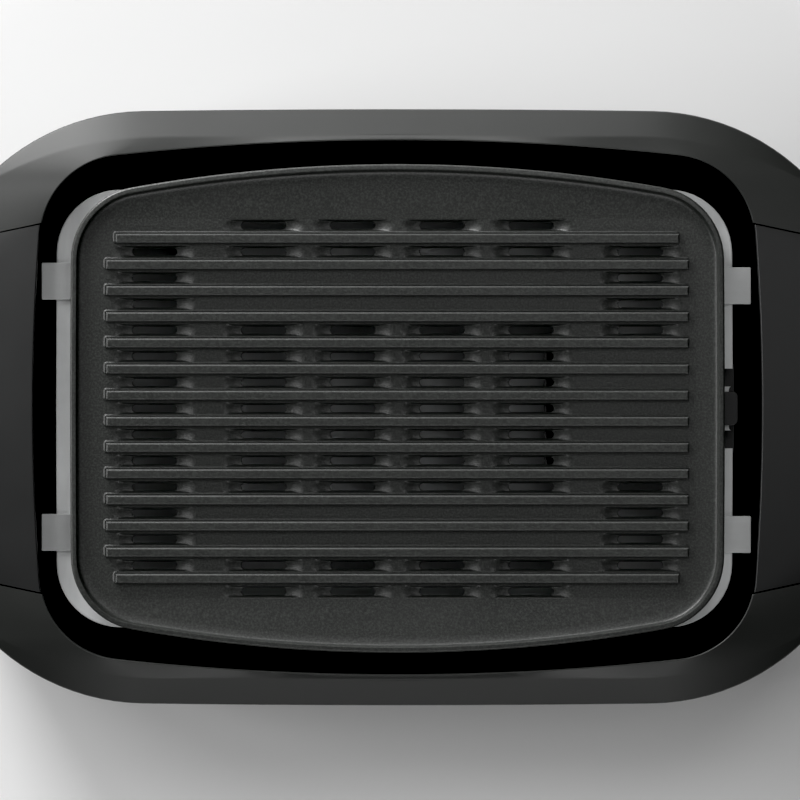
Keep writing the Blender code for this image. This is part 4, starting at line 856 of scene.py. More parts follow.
def crease_ring(depth):
    """The crease at a depth under the surface. It runs into the outer edge at the corners."""
    slope = CREASE_RISE / (BODY_HALF_Y - CREASE_HALF_Y)
    ring = []
    for x, y in BODY.inset(CREASE_SETBACK + depth).points():
        held = min(abs(y), crease_y(x) + CREASE_SPREAD_SHARE * depth)
        past = max(0.0, abs(x) - CREASE_FLAT_X)
        rise = slope * (1 - CREASE_FADE * min(1.0, past / CREASE_FADE_X)) * (abs(y) - held)
        side_y = math.copysign(held, y) + BODY_MIDDLE[1]
        ring.append((x, side_y, EDGE_TOP - depth + rise))
    return ring


def between(first, second, share):
    return [
        tuple(a + (b - a) * share for a, b in zip(here, there))
        for here, there in zip(first, second)
    ]


def band_rings(depth, rounded=True):
    """The band at a depth under its surface, from its outer edge to the opening's lip."""
    crease = crease_ring(depth)
    if not rounded:
        return [
            BODY.ring(depth, EDGE_BOTTOM - depth / 2),
            BODY.ring(SKIRT_ROUND + depth, EDGE_TOP - SKIRT_ROUND - depth),
            crease,
            OPENING.ring(-LIP_ROUND - depth, LIP_TOP - depth),
            OPENING.ring(-depth, LIP_TOP - LIP_ROUND - depth),
        ]
    outer = [
        BODY.ring(inset + depth, z - depth)
        for inset, z in arc_steps(EDGE_ROUND, EDGE_TOP - EDGE_ROUND, EDGE_ROUND, 0, EDGE_ARC)
    ]
    lip = [
        OPENING.ring(-inset - depth, z - depth)
        for inset, z in arc_steps(LIP_ROUND, LIP_TOP - LIP_ROUND, LIP_ROUND, LIP_ARC, 0)
    ]
    soft = [
        between(crease, outer[-1], BAND_SOFT_SHARE),
        between(crease, lip[0], CREASE_SOFT_SHARE),
    ]
    return outer + soft + lip


def apron_rings(depth, rounded=True):
    """The band's rings, carried down both its sides."""
    apron_z = EDGE_BOTTOM - COVER_APRON
    outer = BODY.ring(wall_inset(apron_z) + depth, apron_z)
    inner = OPENING.ring(-depth, LIP_TOP - LIP_ROUND - COVER_APRON)
    return [outer] + band_rings(depth, rounded) + [inner]


def recess_block(side, grown):
    """The space of a finger recess, or with its walls when it is grown."""
    near = RECESS_FLOOR_X - grown
    far = BODY_HALF_X + OVERRUN
    centre = (side * (near + far) / 2, 0.0)
    sizes = ((far - near) / 2, RECESS_HALF_Y + grown, RECESS_CORNER + grown)
    outline = rounded_points(*sizes, centre)
    return loft("recess", [flat(outline, z) for z in (-OVERRUN, RECESS_TOP + grown)])


def window_block(side, spread, lift):
    """The space over a handle, between its two seams and above its sloping floor."""
    near = OPENING_HALF_X - OVERRUN
    far = BODY_HALF_X + OVERRUN
    base = []
    for x, way in ((near, -1), (far, -1), (far, 1), (near, 1)):
        across = (x - OPENING_HALF_X) / (BODY_HALF_X - OPENING_HALF_X)
        seam = SEAM_INNER_Y + (SEAM_OUTER_Y - SEAM_INNER_Y) * across
        floor = WINDOW_INNER_Z + (WINDOW_OUTER_Z - WINDOW_INNER_Z) * across
        base.append((side * x, way * (seam + spread), floor + lift))
    return loft("window", [base, [(x, y, LIP_TOP + OVERRUN) for x, y, z in base]])


def boss_places():
    ledge_middle = (LEDGE_WIDTH - BODY_WALL) / 2
    boss_y = OPENING_HALF_Y - ledge_middle
    boss_x = OPENING_HALF_X - ledge_middle
    bowed_y = boss_y - BOSS_X**2 / (2 * OPENING_BOW_Y)
    corners = [(sx * BOSS_X, sy * bowed_y) for sx in (-1, 1) for sy in (-1, 1)]
    return corners + [(-boss_x, 0.0), (boss_x, 0.0)]


def make_guard():
    foot = [
        BODY.ring(SKIRT_DRAFT + SKIRT_ROUND, SKIRT_BOTTOM),
        BODY.ring(SKIRT_DRAFT, SKIRT_BOTTOM + SKIRT_ROUND),
    ]
    ledge = [
        OPENING.ring(0.0, LEDGE_TOP),
        OPENING.ring(LEDGE_WIDTH, LEDGE_TOP),
        OPENING.ring(LEDGE_WIDTH, LEDGE_BOTTOM),
        OPENING.ring(-BODY_WALL, LEDGE_BOTTOM),
    ]
    inner = band_rings(BODY_WALL, rounded=False)[::-1]
    inner.append(BODY.ring(SKIRT_DRAFT + BODY_WALL, SKIRT_BOTTOM))
    guard = loft("body_guard", foot + band_rings(0.0) + ledge + inner, ring_shaped=True)
    for side in (-1, 1):
        cut(guard, recess_block(side, BODY_WALL + CLEAR))
        cut(guard, window_block(side, 0.0, 0.0))
    for place in boss_places():
        join(guard, rod(BOSS_RADIUS, (BOSS_BOTTOM, LEDGE_BOTTOM + BODY_WALL / 2), place))
        cut(guard, rod(SCREW_RADIUS + CLEAR, (SKIRT_BOTTOM, PILOT_TOP), place))
    soften(guard, SEAM_ROUND)
    dress(guard, "body", "guard_shell", "guard_plastic")
    paint_shade_in_well(guard)


def paint_shade_in_well(guard):
    """Paints shade into the wall and the ledge inside the opening: they get a near-black, matt copy
    of the guard's plastic that stands in for the deep shade there.
    """
    guard.data.materials.append(MATERIALS["painted_shade_plastic"])
    wall = OPENING.inset(-WELL_SPARE)
    for face in guard.data.polygons:
        x, y, z = face.center
        if z < LIP_TOP - LIP_ROUND and z > LEDGE_BOTTOM and wall.holds(x, y):
            face.material_index = 1


def make_grip_pocket(side, word):
    """The moulded walls of a finger recess. The wires' hole is in the right one."""
    pocket = recess_block(side, BODY_WALL)
    pocket.name = f"{word}_grip_walls"
    limit = [
        BODY.ring(SKIRT_DRAFT + POCKET_SETBACK, SKIRT_BOTTOM),
        BODY.ring(POCKET_SETBACK, EDGE_BOTTOM),
    ]
    combine(pocket, loft("limit", limit), "INTERSECT")
    cut(pocket, recess_block(side, 0.0))
    if side > 0:
        ends = (RECESS_FLOOR_X - OVERRUN, RECESS_FLOOR_X + OVERRUN)
        cut(pocket, rod(CABLE_HOLE_RADIUS, ends, (0.0, CONTROL_Z), along_x=True))
    soften(pocket, POCKET_ROUND)
    dress(pocket, "body", f"{word}_grip_pocket", "guard_plastic")


def cover_crown(y):
    """How far a handle cover swells over the guard's surface between its two seams."""
    return COVER_CROWN * max(0.0, 1 - (y / SEAM_INNER_Y) ** 2)


def make_handle_cover(side, word):
    outer = apron_rings(COVER_RECESS)
    inner = apron_rings(COVER_RECESS + COVER_WALL, rounded=False)[::-1]
    rings = [[(x, y, z + cover_crown(y)) for x, y, z in ring] for ring in outer + inner]
    cover = loft(f"{word}_handle_skin", rings, ring_shaped=True)
    combine(cover, window_block(side, -COVER_GAP, CLEAR), "INTERSECT")
    soften(cover, SEAM_ROUND)
    dress(cover, "body", f"{word}_handle_cover", "handle_plastic")


# Base plate, feet and screws


def foot_places():
    return [middle(f"foot_{number}")[:2] for number in range(1, 5)]


def vent_rings(x, y):
    outline = [(x - v, y + u) for u, v in slot_points(VENT_LENGTH, VENT_WIDTH, 0.0, 0.0)]
    return [flat(outline, z) for z in (-OVERRUN, OVERRUN)]


def bead_rings(y):
    """A rectangular groove with round corners, to press round a field of vents."""
    inner, outer = (
        rounded_points(
            VENT_COUNT * VENT_PITCH / 2 + BEAD_MARGIN + grown,
            VENT_LENGTH / 2 + BEAD_MARGIN + grown,
            BEAD_CORNER + grown,
            (0.0, y),
        )
        for grown in (-BEAD_WIDTH / 2, BEAD_WIDTH / 2)
    )
    low_z, high_z = BASE_BOTTOM - BEAD_DEPTH, BASE_BOTTOM + BEAD_DEPTH
    return [flat(outer, low_z), flat(outer, high_z), flat(inner, high_z), flat(inner, low_z)]


def make_base_plate():
    clearance = wall_inset(BASE_BOTTOM) + BODY_WALL + CLEAR
    steps = arc_steps(BASE_ROUND, BASE_BOTTOM + BASE_ROUND, BASE_ROUND, -90, 0, BASE_ARC_STEPS)
    steps += arc_steps(BASE_ROUND, BASE_TOP - BASE_ROUND, BASE_ROUND, 0, 90, BASE_ARC_STEPS)
    plate = loft("base_panel", [BODY.ring(clearance + inset, z) for inset, z in steps])
    for side in (-1, 1):
        cut(plate, recess_block(side, BODY_WALL + CLEAR))
    vents = [
        vent_rings((number - (VENT_COUNT - 1) / 2) * VENT_PITCH, row * VENT_Y)
        for row in (-1, 1)
        for number in range(VENT_COUNT)
    ]
    cut(plate, lofts("vents", vents))
    for row in (-1, 1):
        cut(plate, loft("bead", bead_rings(row * VENT_Y), ring_shaped=True))
    for radius, places in ((SCREW_RADIUS, boss_places()), (FOOT_STEM_RADIUS, foot_places())):
        for place in places:
            cut(plate, rod(radius + CLEAR, (-OVERRUN, OVERRUN), place))
    soften(plate, BASE_EDGE)
    dress(plate, "body", "base_plate", "base_sheet")


def make_feet():
    """Turned rubber feet: a hollow in the standing face, a groove round the side and a stem."""
    for number, place in enumerate(foot_places(), 1):
        node = f"foot_{number}"
        wide = half(node)[0]
        top = high(node).z
        profile = [(wide - inset, z) for inset, z in FOOT_PROFILE] + [
            (FOOT_STEM_RADIUS, FOOT_SHOULDER),
            (FOOT_STEM_RADIUS, top - FOOT_STEM_POINT[1]),
            (FOOT_STEM_RADIUS - FOOT_STEM_POINT[0], top),
        ]
        foot = turned(f"rubber_foot_{number}", profile, place)
        dress(foot, "body", node, "foot_rubber")


def make_screw(node, body):
    """A pan-head screw that goes in from below, with a cross recess in its head."""
    x, y, _ = middle(node)
    wide = half(node)[1]
    bottom = low(node).z
    top = high(node).z
    under = bottom + SCREW_HEAD
    profile = [(wide * share, bottom + SCREW_DOME * rise) for share, rise in SCREW_DOME_SHARES]
    profile += [
        (wide, under - SCREW_EDGE),
        (wide - SCREW_EDGE, under),
        (SCREW_RADIUS, under),
        (SCREW_RADIUS, top - SCREW_POINT),
        (SCREW_RADIUS * SCREW_POINT_SHARE, top),
    ]
    screw = turned(f"{node}_fine", profile, (x, y), sides=SCREW_SIDES)
    cross = (CROSS_HALF_LENGTH, CROSS_HALF_WIDTH)
    for half_x, half_y in (cross, cross[::-1]):
        corner = (x - half_x, y - half_y, bottom - CROSS_DEPTH)
        across = (x + half_x, y + half_y, bottom + CROSS_DEPTH)
        cut(screw, plain_block(corner, across, CROSS_CORNER))
    dress(screw, body, node, "plated_steel")


def make_screws():
    for number in range(1, 7):
        make_screw(f"base_screw_{number}", "body")
    for number in (1, 2):
        make_screw(f"cover_screw_{number}", "plate")


# Drip tray


def make_tray():
    foot = TRAY_FLANGE + TRAY_DRAFT
    bend = TRAY_BEND
    roll = TRAY_SHEET / 2
    steps = [
        (foot + bend, TRAY_FLOOR),
        (foot + bend * 0.35, TRAY_FLOOR + bend * 0.3),
        (foot, TRAY_FLOOR + bend),
        (TRAY_FLANGE + bend * 0.1, LEDGE_TOP - bend * 0.8),
        (TRAY_FLANGE - bend * 0.15, LEDGE_TOP - bend * 0.25),
        (TRAY_FLANGE - bend * 0.6, LEDGE_TOP),
        (roll * 1.6, LEDGE_TOP),
        (roll * 0.5, LEDGE_TOP - roll * 0.4),
        (0.0, LEDGE_TOP - roll),
        (roll * 0.5, LEDGE_TOP - TRAY_SHEET * 0.9),
        (roll * 1.6, LEDGE_TOP - TRAY_SHEET),
        (TRAY_FLANGE - bend * 0.6 - roll, LEDGE_TOP - TRAY_SHEET),
        (TRAY_FLANGE - TRAY_SHEET, LEDGE_TOP - bend),
        (foot - TRAY_SHEET, TRAY_FLOOR + bend - roll),
        (foot + bend - roll, TRAY_FLOOR - TRAY_SHEET),
    ]
    tray = loft("tray_pan", [TRAY.ring(inset, z) for inset, z in steps])
    gap_half = (NOTCH_HALF_Y - TAB_HALF_Y) / 2
    gap_y = (NOTCH_HALF_Y + TAB_HALF_Y) / 2
    notches = [(NOTCH_DEPTH, way * gap_y, gap_half) for way in (-1, 1)]
    far = TRAY_HALF_X + OVERRUN
    for depth, y, half_y in notches + [(TAB_SETBACK, 0.0, TAB_HALF_Y + CLEAR)]:
        near = TRAY_HALF_X - depth
        outline = rounded_points((far - near) / 2, half_y, NOTCH_CORNER, ((far + near) / 2, y))
        cut(tray, loft("notch", [flat(outline, LEDGE_TOP + way * bend) for way in (-1, 1)]))
    soften(tray, NOTCH_EDGE)
    dress(tray, "tray", "drip_tray", "bright_steel", "tray_steel")


def make_straps():
    """Flat bars with broken edges, laid from the tray's flange to the guard's ledge."""
    for words, aside in STRAP_PLACES.items():
        node = "tray_strap_{}_{}".format(*words)
        half_x, half_y, _ = half(node)
        centre = [place + shift for place, shift in zip(middle(node), aside)]
        bottom = low(node).z
        top = high(node).z
        edge = STRAP_EDGE
        upper = edge * STRAP_EDGE_SHARE
        rings = []
        for inset, z in (
            (edge, bottom),
            (0.0, bottom + edge),
            (0.0, top - edge),
            (upper, top - upper),
            (edge, top),
        ):
            sizes = (half_x - inset, half_y - inset, STRAP_CORNER - inset)
            rings.append(flat(rounded_points(*sizes, centre), z))
        dress(loft("strap_{}_{}".format(*words), rings), "tray", node, "bright_steel")


# Grill plate


def plate_rings():
    """The casting from its lower edge, over the rim and its fillet, to the ribbed floor."""
    steps = [
        (PLATE_DRAFT + RIM_UNDERCUT, PLATE_RIM_BOTTOM),
        (PLATE_DRAFT, PLATE_RIM_BOTTOM + RIM_UNDERCUT),
    ]
    steps += [(inset, RIM_LIP + z) for inset, z in RIM_EDGE]
    rings = [PLATE.ring(inset, z) for inset, z in steps]
    for inset, lift in RIM_FILLET:
        rings.append([(x, y, crescent_z(y) + lift) for x, y in PLATE.inset(inset).points()])
    return rings + [ribbed_ring(RIBBED_INSET), ribbed_ring(RIBBED_INSET + RIBBED_MARGIN)]


def crescent_z(y):
    """The smooth bands past the ribs rise from the ribbed floor towards the rim."""
    past = max(0.0, abs(y) - RIBBED_HALF_Y)
    return PLATE_FLOOR + CRESCENT_RISE * past / (PLATE_HALF_Y - RIBBED_HALF_Y)


def ribbed_ring(inset):
    """The flat floor's outline: the plate's, cut off past the ribs."""
    limit = RIBBED_HALF_Y - (inset - RIBBED_INSET)
    outline = PLATE.inset(inset).points()
    return [(x, max(-limit, min(limit, y)), PLATE_FLOOR) for x, y in outline]


def rib_rings(number):
    """One rib: a square-ended bar with a bead round its foot, steep walls and broken top edges."""
    y = (number - (RIB_COUNT - 1) / 2) * RIB_PITCH
    half_x = END_RIB_HALF_X if number in (0, RIB_COUNT - 1) else RIB_HALF_X
    steps = [(inset, PLATE_FLOOR + z) for inset, z in RIB_FOOT]
    steps += [(inset, PLATE_FLOOR + RIB_HEIGHT + z) for inset, z in RIB_EDGE]
    rings = []
    for inset, z in steps:
        near = max(inset, RIB_NEAR_INSET)
        corner = max(RIB_SHARPEST, RIB_CORNER - inset)
        aside = (near - inset) / 2
        held = (near + inset) / 2
        centre = (-aside, y + aside)
        rings.append(flat(rounded_points(half_x - held, RIB_WIDTH / 2 - held, corner, centre), z))
    return rings


def slot_rings(row, column):
    """One drain slot: a smooth dish in the floor that narrows to a slot right through."""
    place = (SLOT_X[column], row * RIB_PITCH)
    rings = [flat(slot_points(DISH_LENGTH, DISH_WIDTH, *place), PLATE_FLOOR + MM)]
    for step in range(DISH_STEPS + 1):
        share = step / DISH_STEPS
        length = DISH_LENGTH + (SLOT_LENGTH - DISH_LENGTH) * share
        width = DISH_WIDTH + (SLOT_WIDTH - DISH_WIDTH) * share
        depth = DISH_DEPTH * (1 - math.cos(math.pi * share)) / 2
        rings.append(flat(slot_points(length, width, *place), PLATE_FLOOR - depth + DISH_SKIN))
    lower = slot_points(SLOT_LENGTH - SLOT_TAPER, SLOT_WIDTH - SLOT_TAPER, *place)
    rings.append(flat(lower, PLATE_FLOOR - DISH_DEPTH - SLOT_TAPER_DEPTH))
    rings.append(flat(lower, PLATE_UNDER - OVERRUN))
    return rings


def slot_places():
    places = []
    for row, columns in SLOT_ROWS.items():
        for column in columns:
            places.append((row, column))
            if row:
                places.append((-row, column))
    return places


def element_path():
    """The element's route: in from the terminals, round the bands without slots, and out."""
    knots = [
        (high("heating_element").x, ELEMENT_LEG_Y),
        (ELEMENT_HALF_X, ELEMENT_LEG_Y),
        (ELEMENT_HALF_X, ELEMENT_HALF_Y),
        (-ELEMENT_HALF_X, ELEMENT_HALF_Y),
    ]
    knots += [(x, -y) for x, y in reversed(knots)]
    path = [knots[0]]
    for before, (x, y), after in zip(knots, knots[1:], knots[2:]):
        in_x, in_y = unit((x, y), before)
        out_x, out_y = unit((x, y), after)
        for step in range(BEND_STEPS):
            angle = math.pi / 2 * step / (BEND_STEPS - 1)
            out_share = 1 - math.cos(angle)
            in_share = 1 - math.sin(angle)
            along_x = x + ELEMENT_BEND * (out_x * out_share + in_x * in_share)
            path.append((along_x, y + ELEMENT_BEND * (out_y * out_share + in_y * in_share)))
    return path + [knots[-1]]


def rail_section():
    """The rail under the plate: drafted sides down to a channel that wraps the element."""
    bottom = ELEMENT_Z - RAIL_WRAP
    channel = ELEMENT_RADIUS + CLEAR
    wrap = math.asin(RAIL_WRAP / channel)
    reach = channel * (1 / math.cos((math.pi + 2 * wrap) / (2 * (ELEMENT_SIDES - 2))))
    foot = RAIL_HALF_WIDTH - RAIL_DRAFT
    section = [(RAIL_HALF_WIDTH, PLATE_UNDER + RAIL_ROOT), (foot, bottom + RAIL_EDGE)]
    section.append((foot - RAIL_EDGE, bottom))
    for step in range(ELEMENT_SIDES - 1):
        angle = -wrap + (math.pi + 2 * wrap) * step / (ELEMENT_SIDES - 2)
        section.append((reach * math.cos(angle), ELEMENT_Z + reach * math.sin(angle)))
    return section + [(-u, z) for u, z in reversed(section[:3])]


def cover_screw_places():
    return [(middle(f"cover_screw_{number}")[0], 0.0) for number in (1, 2)]


def make_plate():
    plate = loft("ribbed_plate", plate_rings())
    ends = (PLATE_RIM_BOTTOM - OVERRUN, PLATE_UNDER)
    cut(plate, loft("hollow", [PLATE.ring(PLATE_SKIRT_WIDTH, z) for z in ends]))
    join(plate, lofts("ribs", [rib_rings(number) for number in range(RIB_COUNT)]))
    join(plate, sweep("rail", element_path(), rail_section()))
    root = PLATE_UNDER + PLATE_THICK / 2
    foot = [
        (PLATE_FOOT_RADIUS - PLATE_FOOT_EDGE, PLATE_SEAT),
        (PLATE_FOOT_RADIUS, PLATE_SEAT + PLATE_FOOT_EDGE),
        (PLATE_FOOT_RADIUS, root),
    ]
    for side_x in (-1, 1):
        for side_y in (-1, 1):
            join(plate, turned("foot", foot, (side_x * PLATE_FOOT_X, side_y * PLATE_FOOT_Y)))
    bottom = low("terminal_cover").z + SHROUD_SHEET + CLEAR
    for place in cover_screw_places():
        join(plate, rod(SHROUD_BOSS_RADIUS, (bottom, root), place))
        cut(plate, rod(SCREW_RADIUS + CLEAR, (bottom - MM, bottom + SHROUD_PILOT), place))
    cut(plate, lofts("slots", [slot_rings(*place) for place in slot_places()]))
    dress(plate, "plate", "grill_plate", "cast_plate")


def make_element():
    turns = [2 * math.pi * side / ELEMENT_SIDES for side in range(ELEMENT_SIDES)]
    section = [
        (ELEMENT_RADIUS * math.cos(turn), ELEMENT_Z + ELEMENT_RADIUS * math.sin(turn))
        for turn in turns
    ]
    element = sweep("element_tube", element_path(), section)
    dress(element, "plate", "heating_element", "element_sheath")


def make_terminal_cover():
    lowest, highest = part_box("terminal_cover")
    left, front, bottom = lowest
    right, back, top = highest
    sheet = SHROUD_SHEET
    capped = (right, back, top + SHROUD_ROUND)
    cover = rounded_block("terminal_shroud", lowest, capped, SHROUD_CORNER, SHROUD_ROUND)
    before = (left - OVERRUN, front - OVERRUN, top)
    beyond = (right + OVERRUN, back + OVERRUN, top + OVERRUN)
    cut(cover, plain_block(before, beyond, sheet))
    before = (left + sheet, front + sheet, bottom + sheet)
    beyond = (right - sheet, back - sheet, top + OVERRUN)
    corner = SHROUD_CORNER - sheet
    cut(cover, rounded_block("inside", before, beyond, corner, SHROUD_ROUND / 2))
    spare = RAIL_HALF_WIDTH + CLEAR
    before = (ELEMENT_HALF_X - spare, front - OVERRUN, ELEMENT_Z - ELEMENT_RADIUS - CLEAR)
    beyond = (ELEMENT_HALF_X + spare, back + OVERRUN, top + OVERRUN)
    cut(cover, plain_block(before, beyond, sheet))
    for place in cover_screw_places():
        cut(cover, rod(SCREW_RADIUS + CLEAR, (bottom - MM, bottom + 2 * sheet), place))
    soften(cover, SHROUD_EDGE)
    dress(cover, "plate", "terminal_cover", "base_sheet")


def make_terminal_block():
    """The resin block that carries the pins, with the nose that shows past the plate."""
    lowest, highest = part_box("terminal_block")
    body_end = (TERMINAL_OUTER_X, highest.y, highest.z)
    block = rounded_block("terminal_carrier", lowest, body_end, TERMINAL_CORNER, TERMINAL_ROUND)
    nose_start = (lowest.x + TERMINAL_CORNER, -NOSE_HALF_Y, lowest.z)
    nose_end = (highest.x, NOSE_HALF_Y, highest.z)
    join(block, rounded_block("nose", nose_start, nose_end, NOSE_CORNER, TERMINAL_ROUND))
    for word in ("front", "back"):
        node = f"contact_pin_{word}"
        place = middle(node)[:2]
        bottom = low(node).z
        top = high(node).z
        bore = high(node).y - place[1] + CLEAR
        cut(block, rod(bore, (lowest.z - MM, top + CLEAR), place))
        reach = bore - CLEAR
        profile = [(reach * share, bottom + reach * rise) for share, rise in PIN_TIP_SHARES]
        profile += [(reach, top - PIN_EDGE), (reach - PIN_EDGE, top)]
        dress(turned(f"blade_pin_{word}", profile, place), "plate", node, "contact_brass")
    dress(block, "plate", "terminal_block", "black_resin")


# Contact block in the base


def make_contact_block():
    lowest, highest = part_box("contact_block")
    block = rounded_block("contact_carrier", lowest, highest, BLOCK_CORNER, BLOCK_ROUND)
    before = (lowest.x + BLOCK_WALL, lowest.y + BLOCK_WALL, lowest.z - OVERRUN)
    beyond = (highest.x - BLOCK_WALL, highest.y - BLOCK_WALL, highest.z - BLOCK_HEAD)
    cut(block, plain_block(before, beyond, BLOCK_CORNER))
    for word in ("front", "back"):
        node = f"contact_sleeve_{word}"
        place = middle(f"contact_pin_{word}")[:2]
        outer = half(node)[1]
        bore = outer - SLEEVE_WALL
        bottom = low(node).z
        top = high(node).z
        cut(block, rod(outer + CLEAR, (bottom - CLEAR, top + MM), place))
        profile = [
            (bore, bottom),
            (outer, bottom),
            (outer, top - SLEEVE_EDGE),
            (outer - SLEEVE_EDGE, top),
            (bore + SLEEVE_LEAD, top),
            (bore, top - SLEEVE_LEAD),
        ]
        sleeve = turned(f"sleeve_{word}", profile, place, ring_shaped=True)
        dress(sleeve, "body", node, "contact_brass")
    soften(block, BLOCK_EDGE)
    dress(block, "body", "contact_block", "black_resin")


# Control housing, dial, lens and inlet


def make_housing():
    lowest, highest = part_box("control_housing")
    back, front = lowest.x, highest.x
    half_y = highest.y
    half_z = half("control_housing")[2]
    place = (0.0, middle("control_housing")[2])

    def sizes(inset):
        return half_y - inset, half_z - inset, HOUSING_CORNER - inset

    housing = rounded_lengthwise("control_box", (back, front), *sizes(0.0), HOUSING_ROUND, place)
    ends = (back - MM, front - HOUSING_WALL)
    cut(housing, lengthwise_block(ends, *sizes(HOUSING_WALL), place))
    near = HOUSING_GROOVE_INSET
    far = HOUSING_GROOVE_INSET + 2 * HOUSING_GROOVE
    floor = front - HOUSING_GROOVE
    corners = ((floor, near), (front + MM, near), (front + MM, far), (floor, far))
    groove = [lengthwise_ring(x, *sizes(inset), place) for x, inset in corners]
    cut(housing, loft("groove", groove, ring_shaped=True))
    ends = (front - OVERRUN / 2, front + OVERRUN)
    lens_place, lens_radius = lens_sizes()
    cut(housing, rod(BUSH_RADIUS + CLEAR, ends, DIAL_PLACE, along_x=True))
    cut(housing, rod(lens_radius + CLEAR, ends, lens_place, along_x=True))
    mouth = (INLET_HALF_Y + CLEAR, INLET_HALF_Z + CLEAR, INLET_CORNER + CLEAR)
    cut(housing, lengthwise_block(ends, *mouth, inlet_place()))
    soften(housing, HOUSING_EDGE)
    dress(housing, "body", "control_housing", "guard_plastic")


def lens_sizes():
    return middle("indicator_lens")[1:], half("indicator_lens")[2] - LENS_FLANGE


def inlet_place():
    return middle("inlet_socket")[1], CONTROL_Z


def make_lens():
    lowest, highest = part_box("indicator_lens")
    place, radius = lens_sizes()
    face = highest.x - LENS_DOME - LENS_FLANGE_THICK
    flange = radius + LENS_FLANGE
    rim = face + LENS_FLANGE_THICK
    profile = [
        (radius, lowest.x),
        (radius, face),
        (flange, face),
        (flange, rim - LENS_EDGE),
        (flange - LENS_EDGE, rim),
        (radius, rim),
    ]
    for step in range(1, LENS_DOME_STEPS):
        angle = math.pi / 2 * step / LENS_DOME_STEPS
        profile.append((radius * math.cos(angle), rim + LENS_DOME * math.sin(angle)))
    lens = turned("signal_lens", profile, place, along_x=True)
    dress(lens, "body", "indicator_lens", "lens_red")


def make_bezel():
    """The scale ring round the dial, with its marks cut in and a wider one at the start."""
    lowest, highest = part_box("control_bezel")
    outer = half("control_bezel")[2]
    profile = [
        (BEZEL_INNER, lowest.x),
        (outer, lowest.x),
        (outer, highest.x - BEZEL_ROUND),
        (outer - BEZEL_ROUND, highest.x),
        (BEZEL_INNER, highest.x),
    ]
    shape = {"along_x": True, "ring_shaped": True, "sides": BEZEL_SIDES}
    bezel = turned("scale_ring", profile, DIAL_PLACE, **shape)
    marks = []
    for number in range(MARK_COUNT):
        angle = math.radians(MARK_START + MARK_SPAN * number / (MARK_COUNT - 1))
        wide = MARK_HALF_WIDTH * (2 if number == 0 else 1)
        cos, sin = math.cos(angle), math.sin(angle)
        corners = [
            (DIAL_Y + reach * cos - way * wide * sin, CONTROL_Z + reach * sin + way * wide * cos)
            for reach, way in (
                (MARK_INNER, -1),
                (MARK_OUTER, -1),
                (MARK_OUTER, 1),
                (MARK_INNER, 1),
            )
        ]
        ends = (highest.x - MARK_DEPTH, highest.x + MM)
        marks.append([[(x, y, z) for y, z in corners] for x in ends])
    cut(bezel, lofts("marks", marks))
    dress(bezel, "body", "control_bezel", "plated_steel")


def make_dial():
    """A fluted dial with a grip bar and a pointer notch."""
    wide = half("control_dial")[2]
    back = low("control_dial").x
    tip = high("control_dial").x
    front = DIAL_FACE_X
    narrow = wide - DIAL_TAPER
    edge = DIAL_ROUND
    profile = [
        (wide - DIAL_BACK_EDGE, back, 0),
        (wide, back + DIAL_BACK_EDGE, 0),
        (wide, back + edge, 0),
        (wide - DIAL_FLUTE_INSETS[0], back + edge + DIAL_FLUTE_END, 1),
        (narrow + DIAL_FLUTE_INSETS[1], front - edge - DIAL_FLUTE_END, 1),
        (narrow, front - edge, 0),
    ]
    arc = arc_steps(edge, front - edge, edge, DIAL_ARC, 90)
    profile += [(narrow - inset, x, 0) for inset, x in arc]
    rings = []
    sides = DIAL_FLUTES * DIAL_FLUTE_STEPS
    for radius, x, fluted in profile:
        ring = []
        for side in range(sides):
            angle = 2 * math.pi * side / sides
            reach = radius - fluted * DIAL_FLUTE_DEPTH * (1 - math.cos(angle * DIAL_FLUTES)) / 2
            y = DIAL_Y + reach * math.cos(angle)
            ring.append((x, y, CONTROL_Z + reach * math.sin(angle)))
        rings.append(ring)
    dial = loft("fluted_dial", rings)
    grip = (GRIP_HALF_WIDTH, GRIP_HALF_LENGTH, GRIP_CORNER, GRIP_ROUND)
    join(dial, rounded_lengthwise("grip", (front - edge, tip), *grip, DIAL_PLACE))
    pointer_z = CONTROL_Z + GRIP_HALF_LENGTH - GRIP_ROUND - POINTER_LENGTH / 2
    corner = POINTER_HALF_WIDTH * POINTER_CORNER_SHARE
    sizes = (POINTER_HALF_WIDTH, POINTER_LENGTH / 2, corner)
    cut(dial, lengthwise_block((tip - POINTER_DEPTH, tip + MM), *sizes, (DIAL_Y, pointer_z)))
    ends = (back - MM, high("regulator_body").x + DIAL_CAVITY_SPARE)
    cut(dial, rod(DIAL_CAVITY_RADIUS, ends, DIAL_PLACE, along_x=True))
    ends = (back, high("dial_spindle").x + CLEAR)
    cut(dial, rod(half("dial_spindle")[2] + CLEAR / 3, ends, DIAL_PLACE, along_x=True))
    dress(dial, "dial", "control_dial", "black_resin")


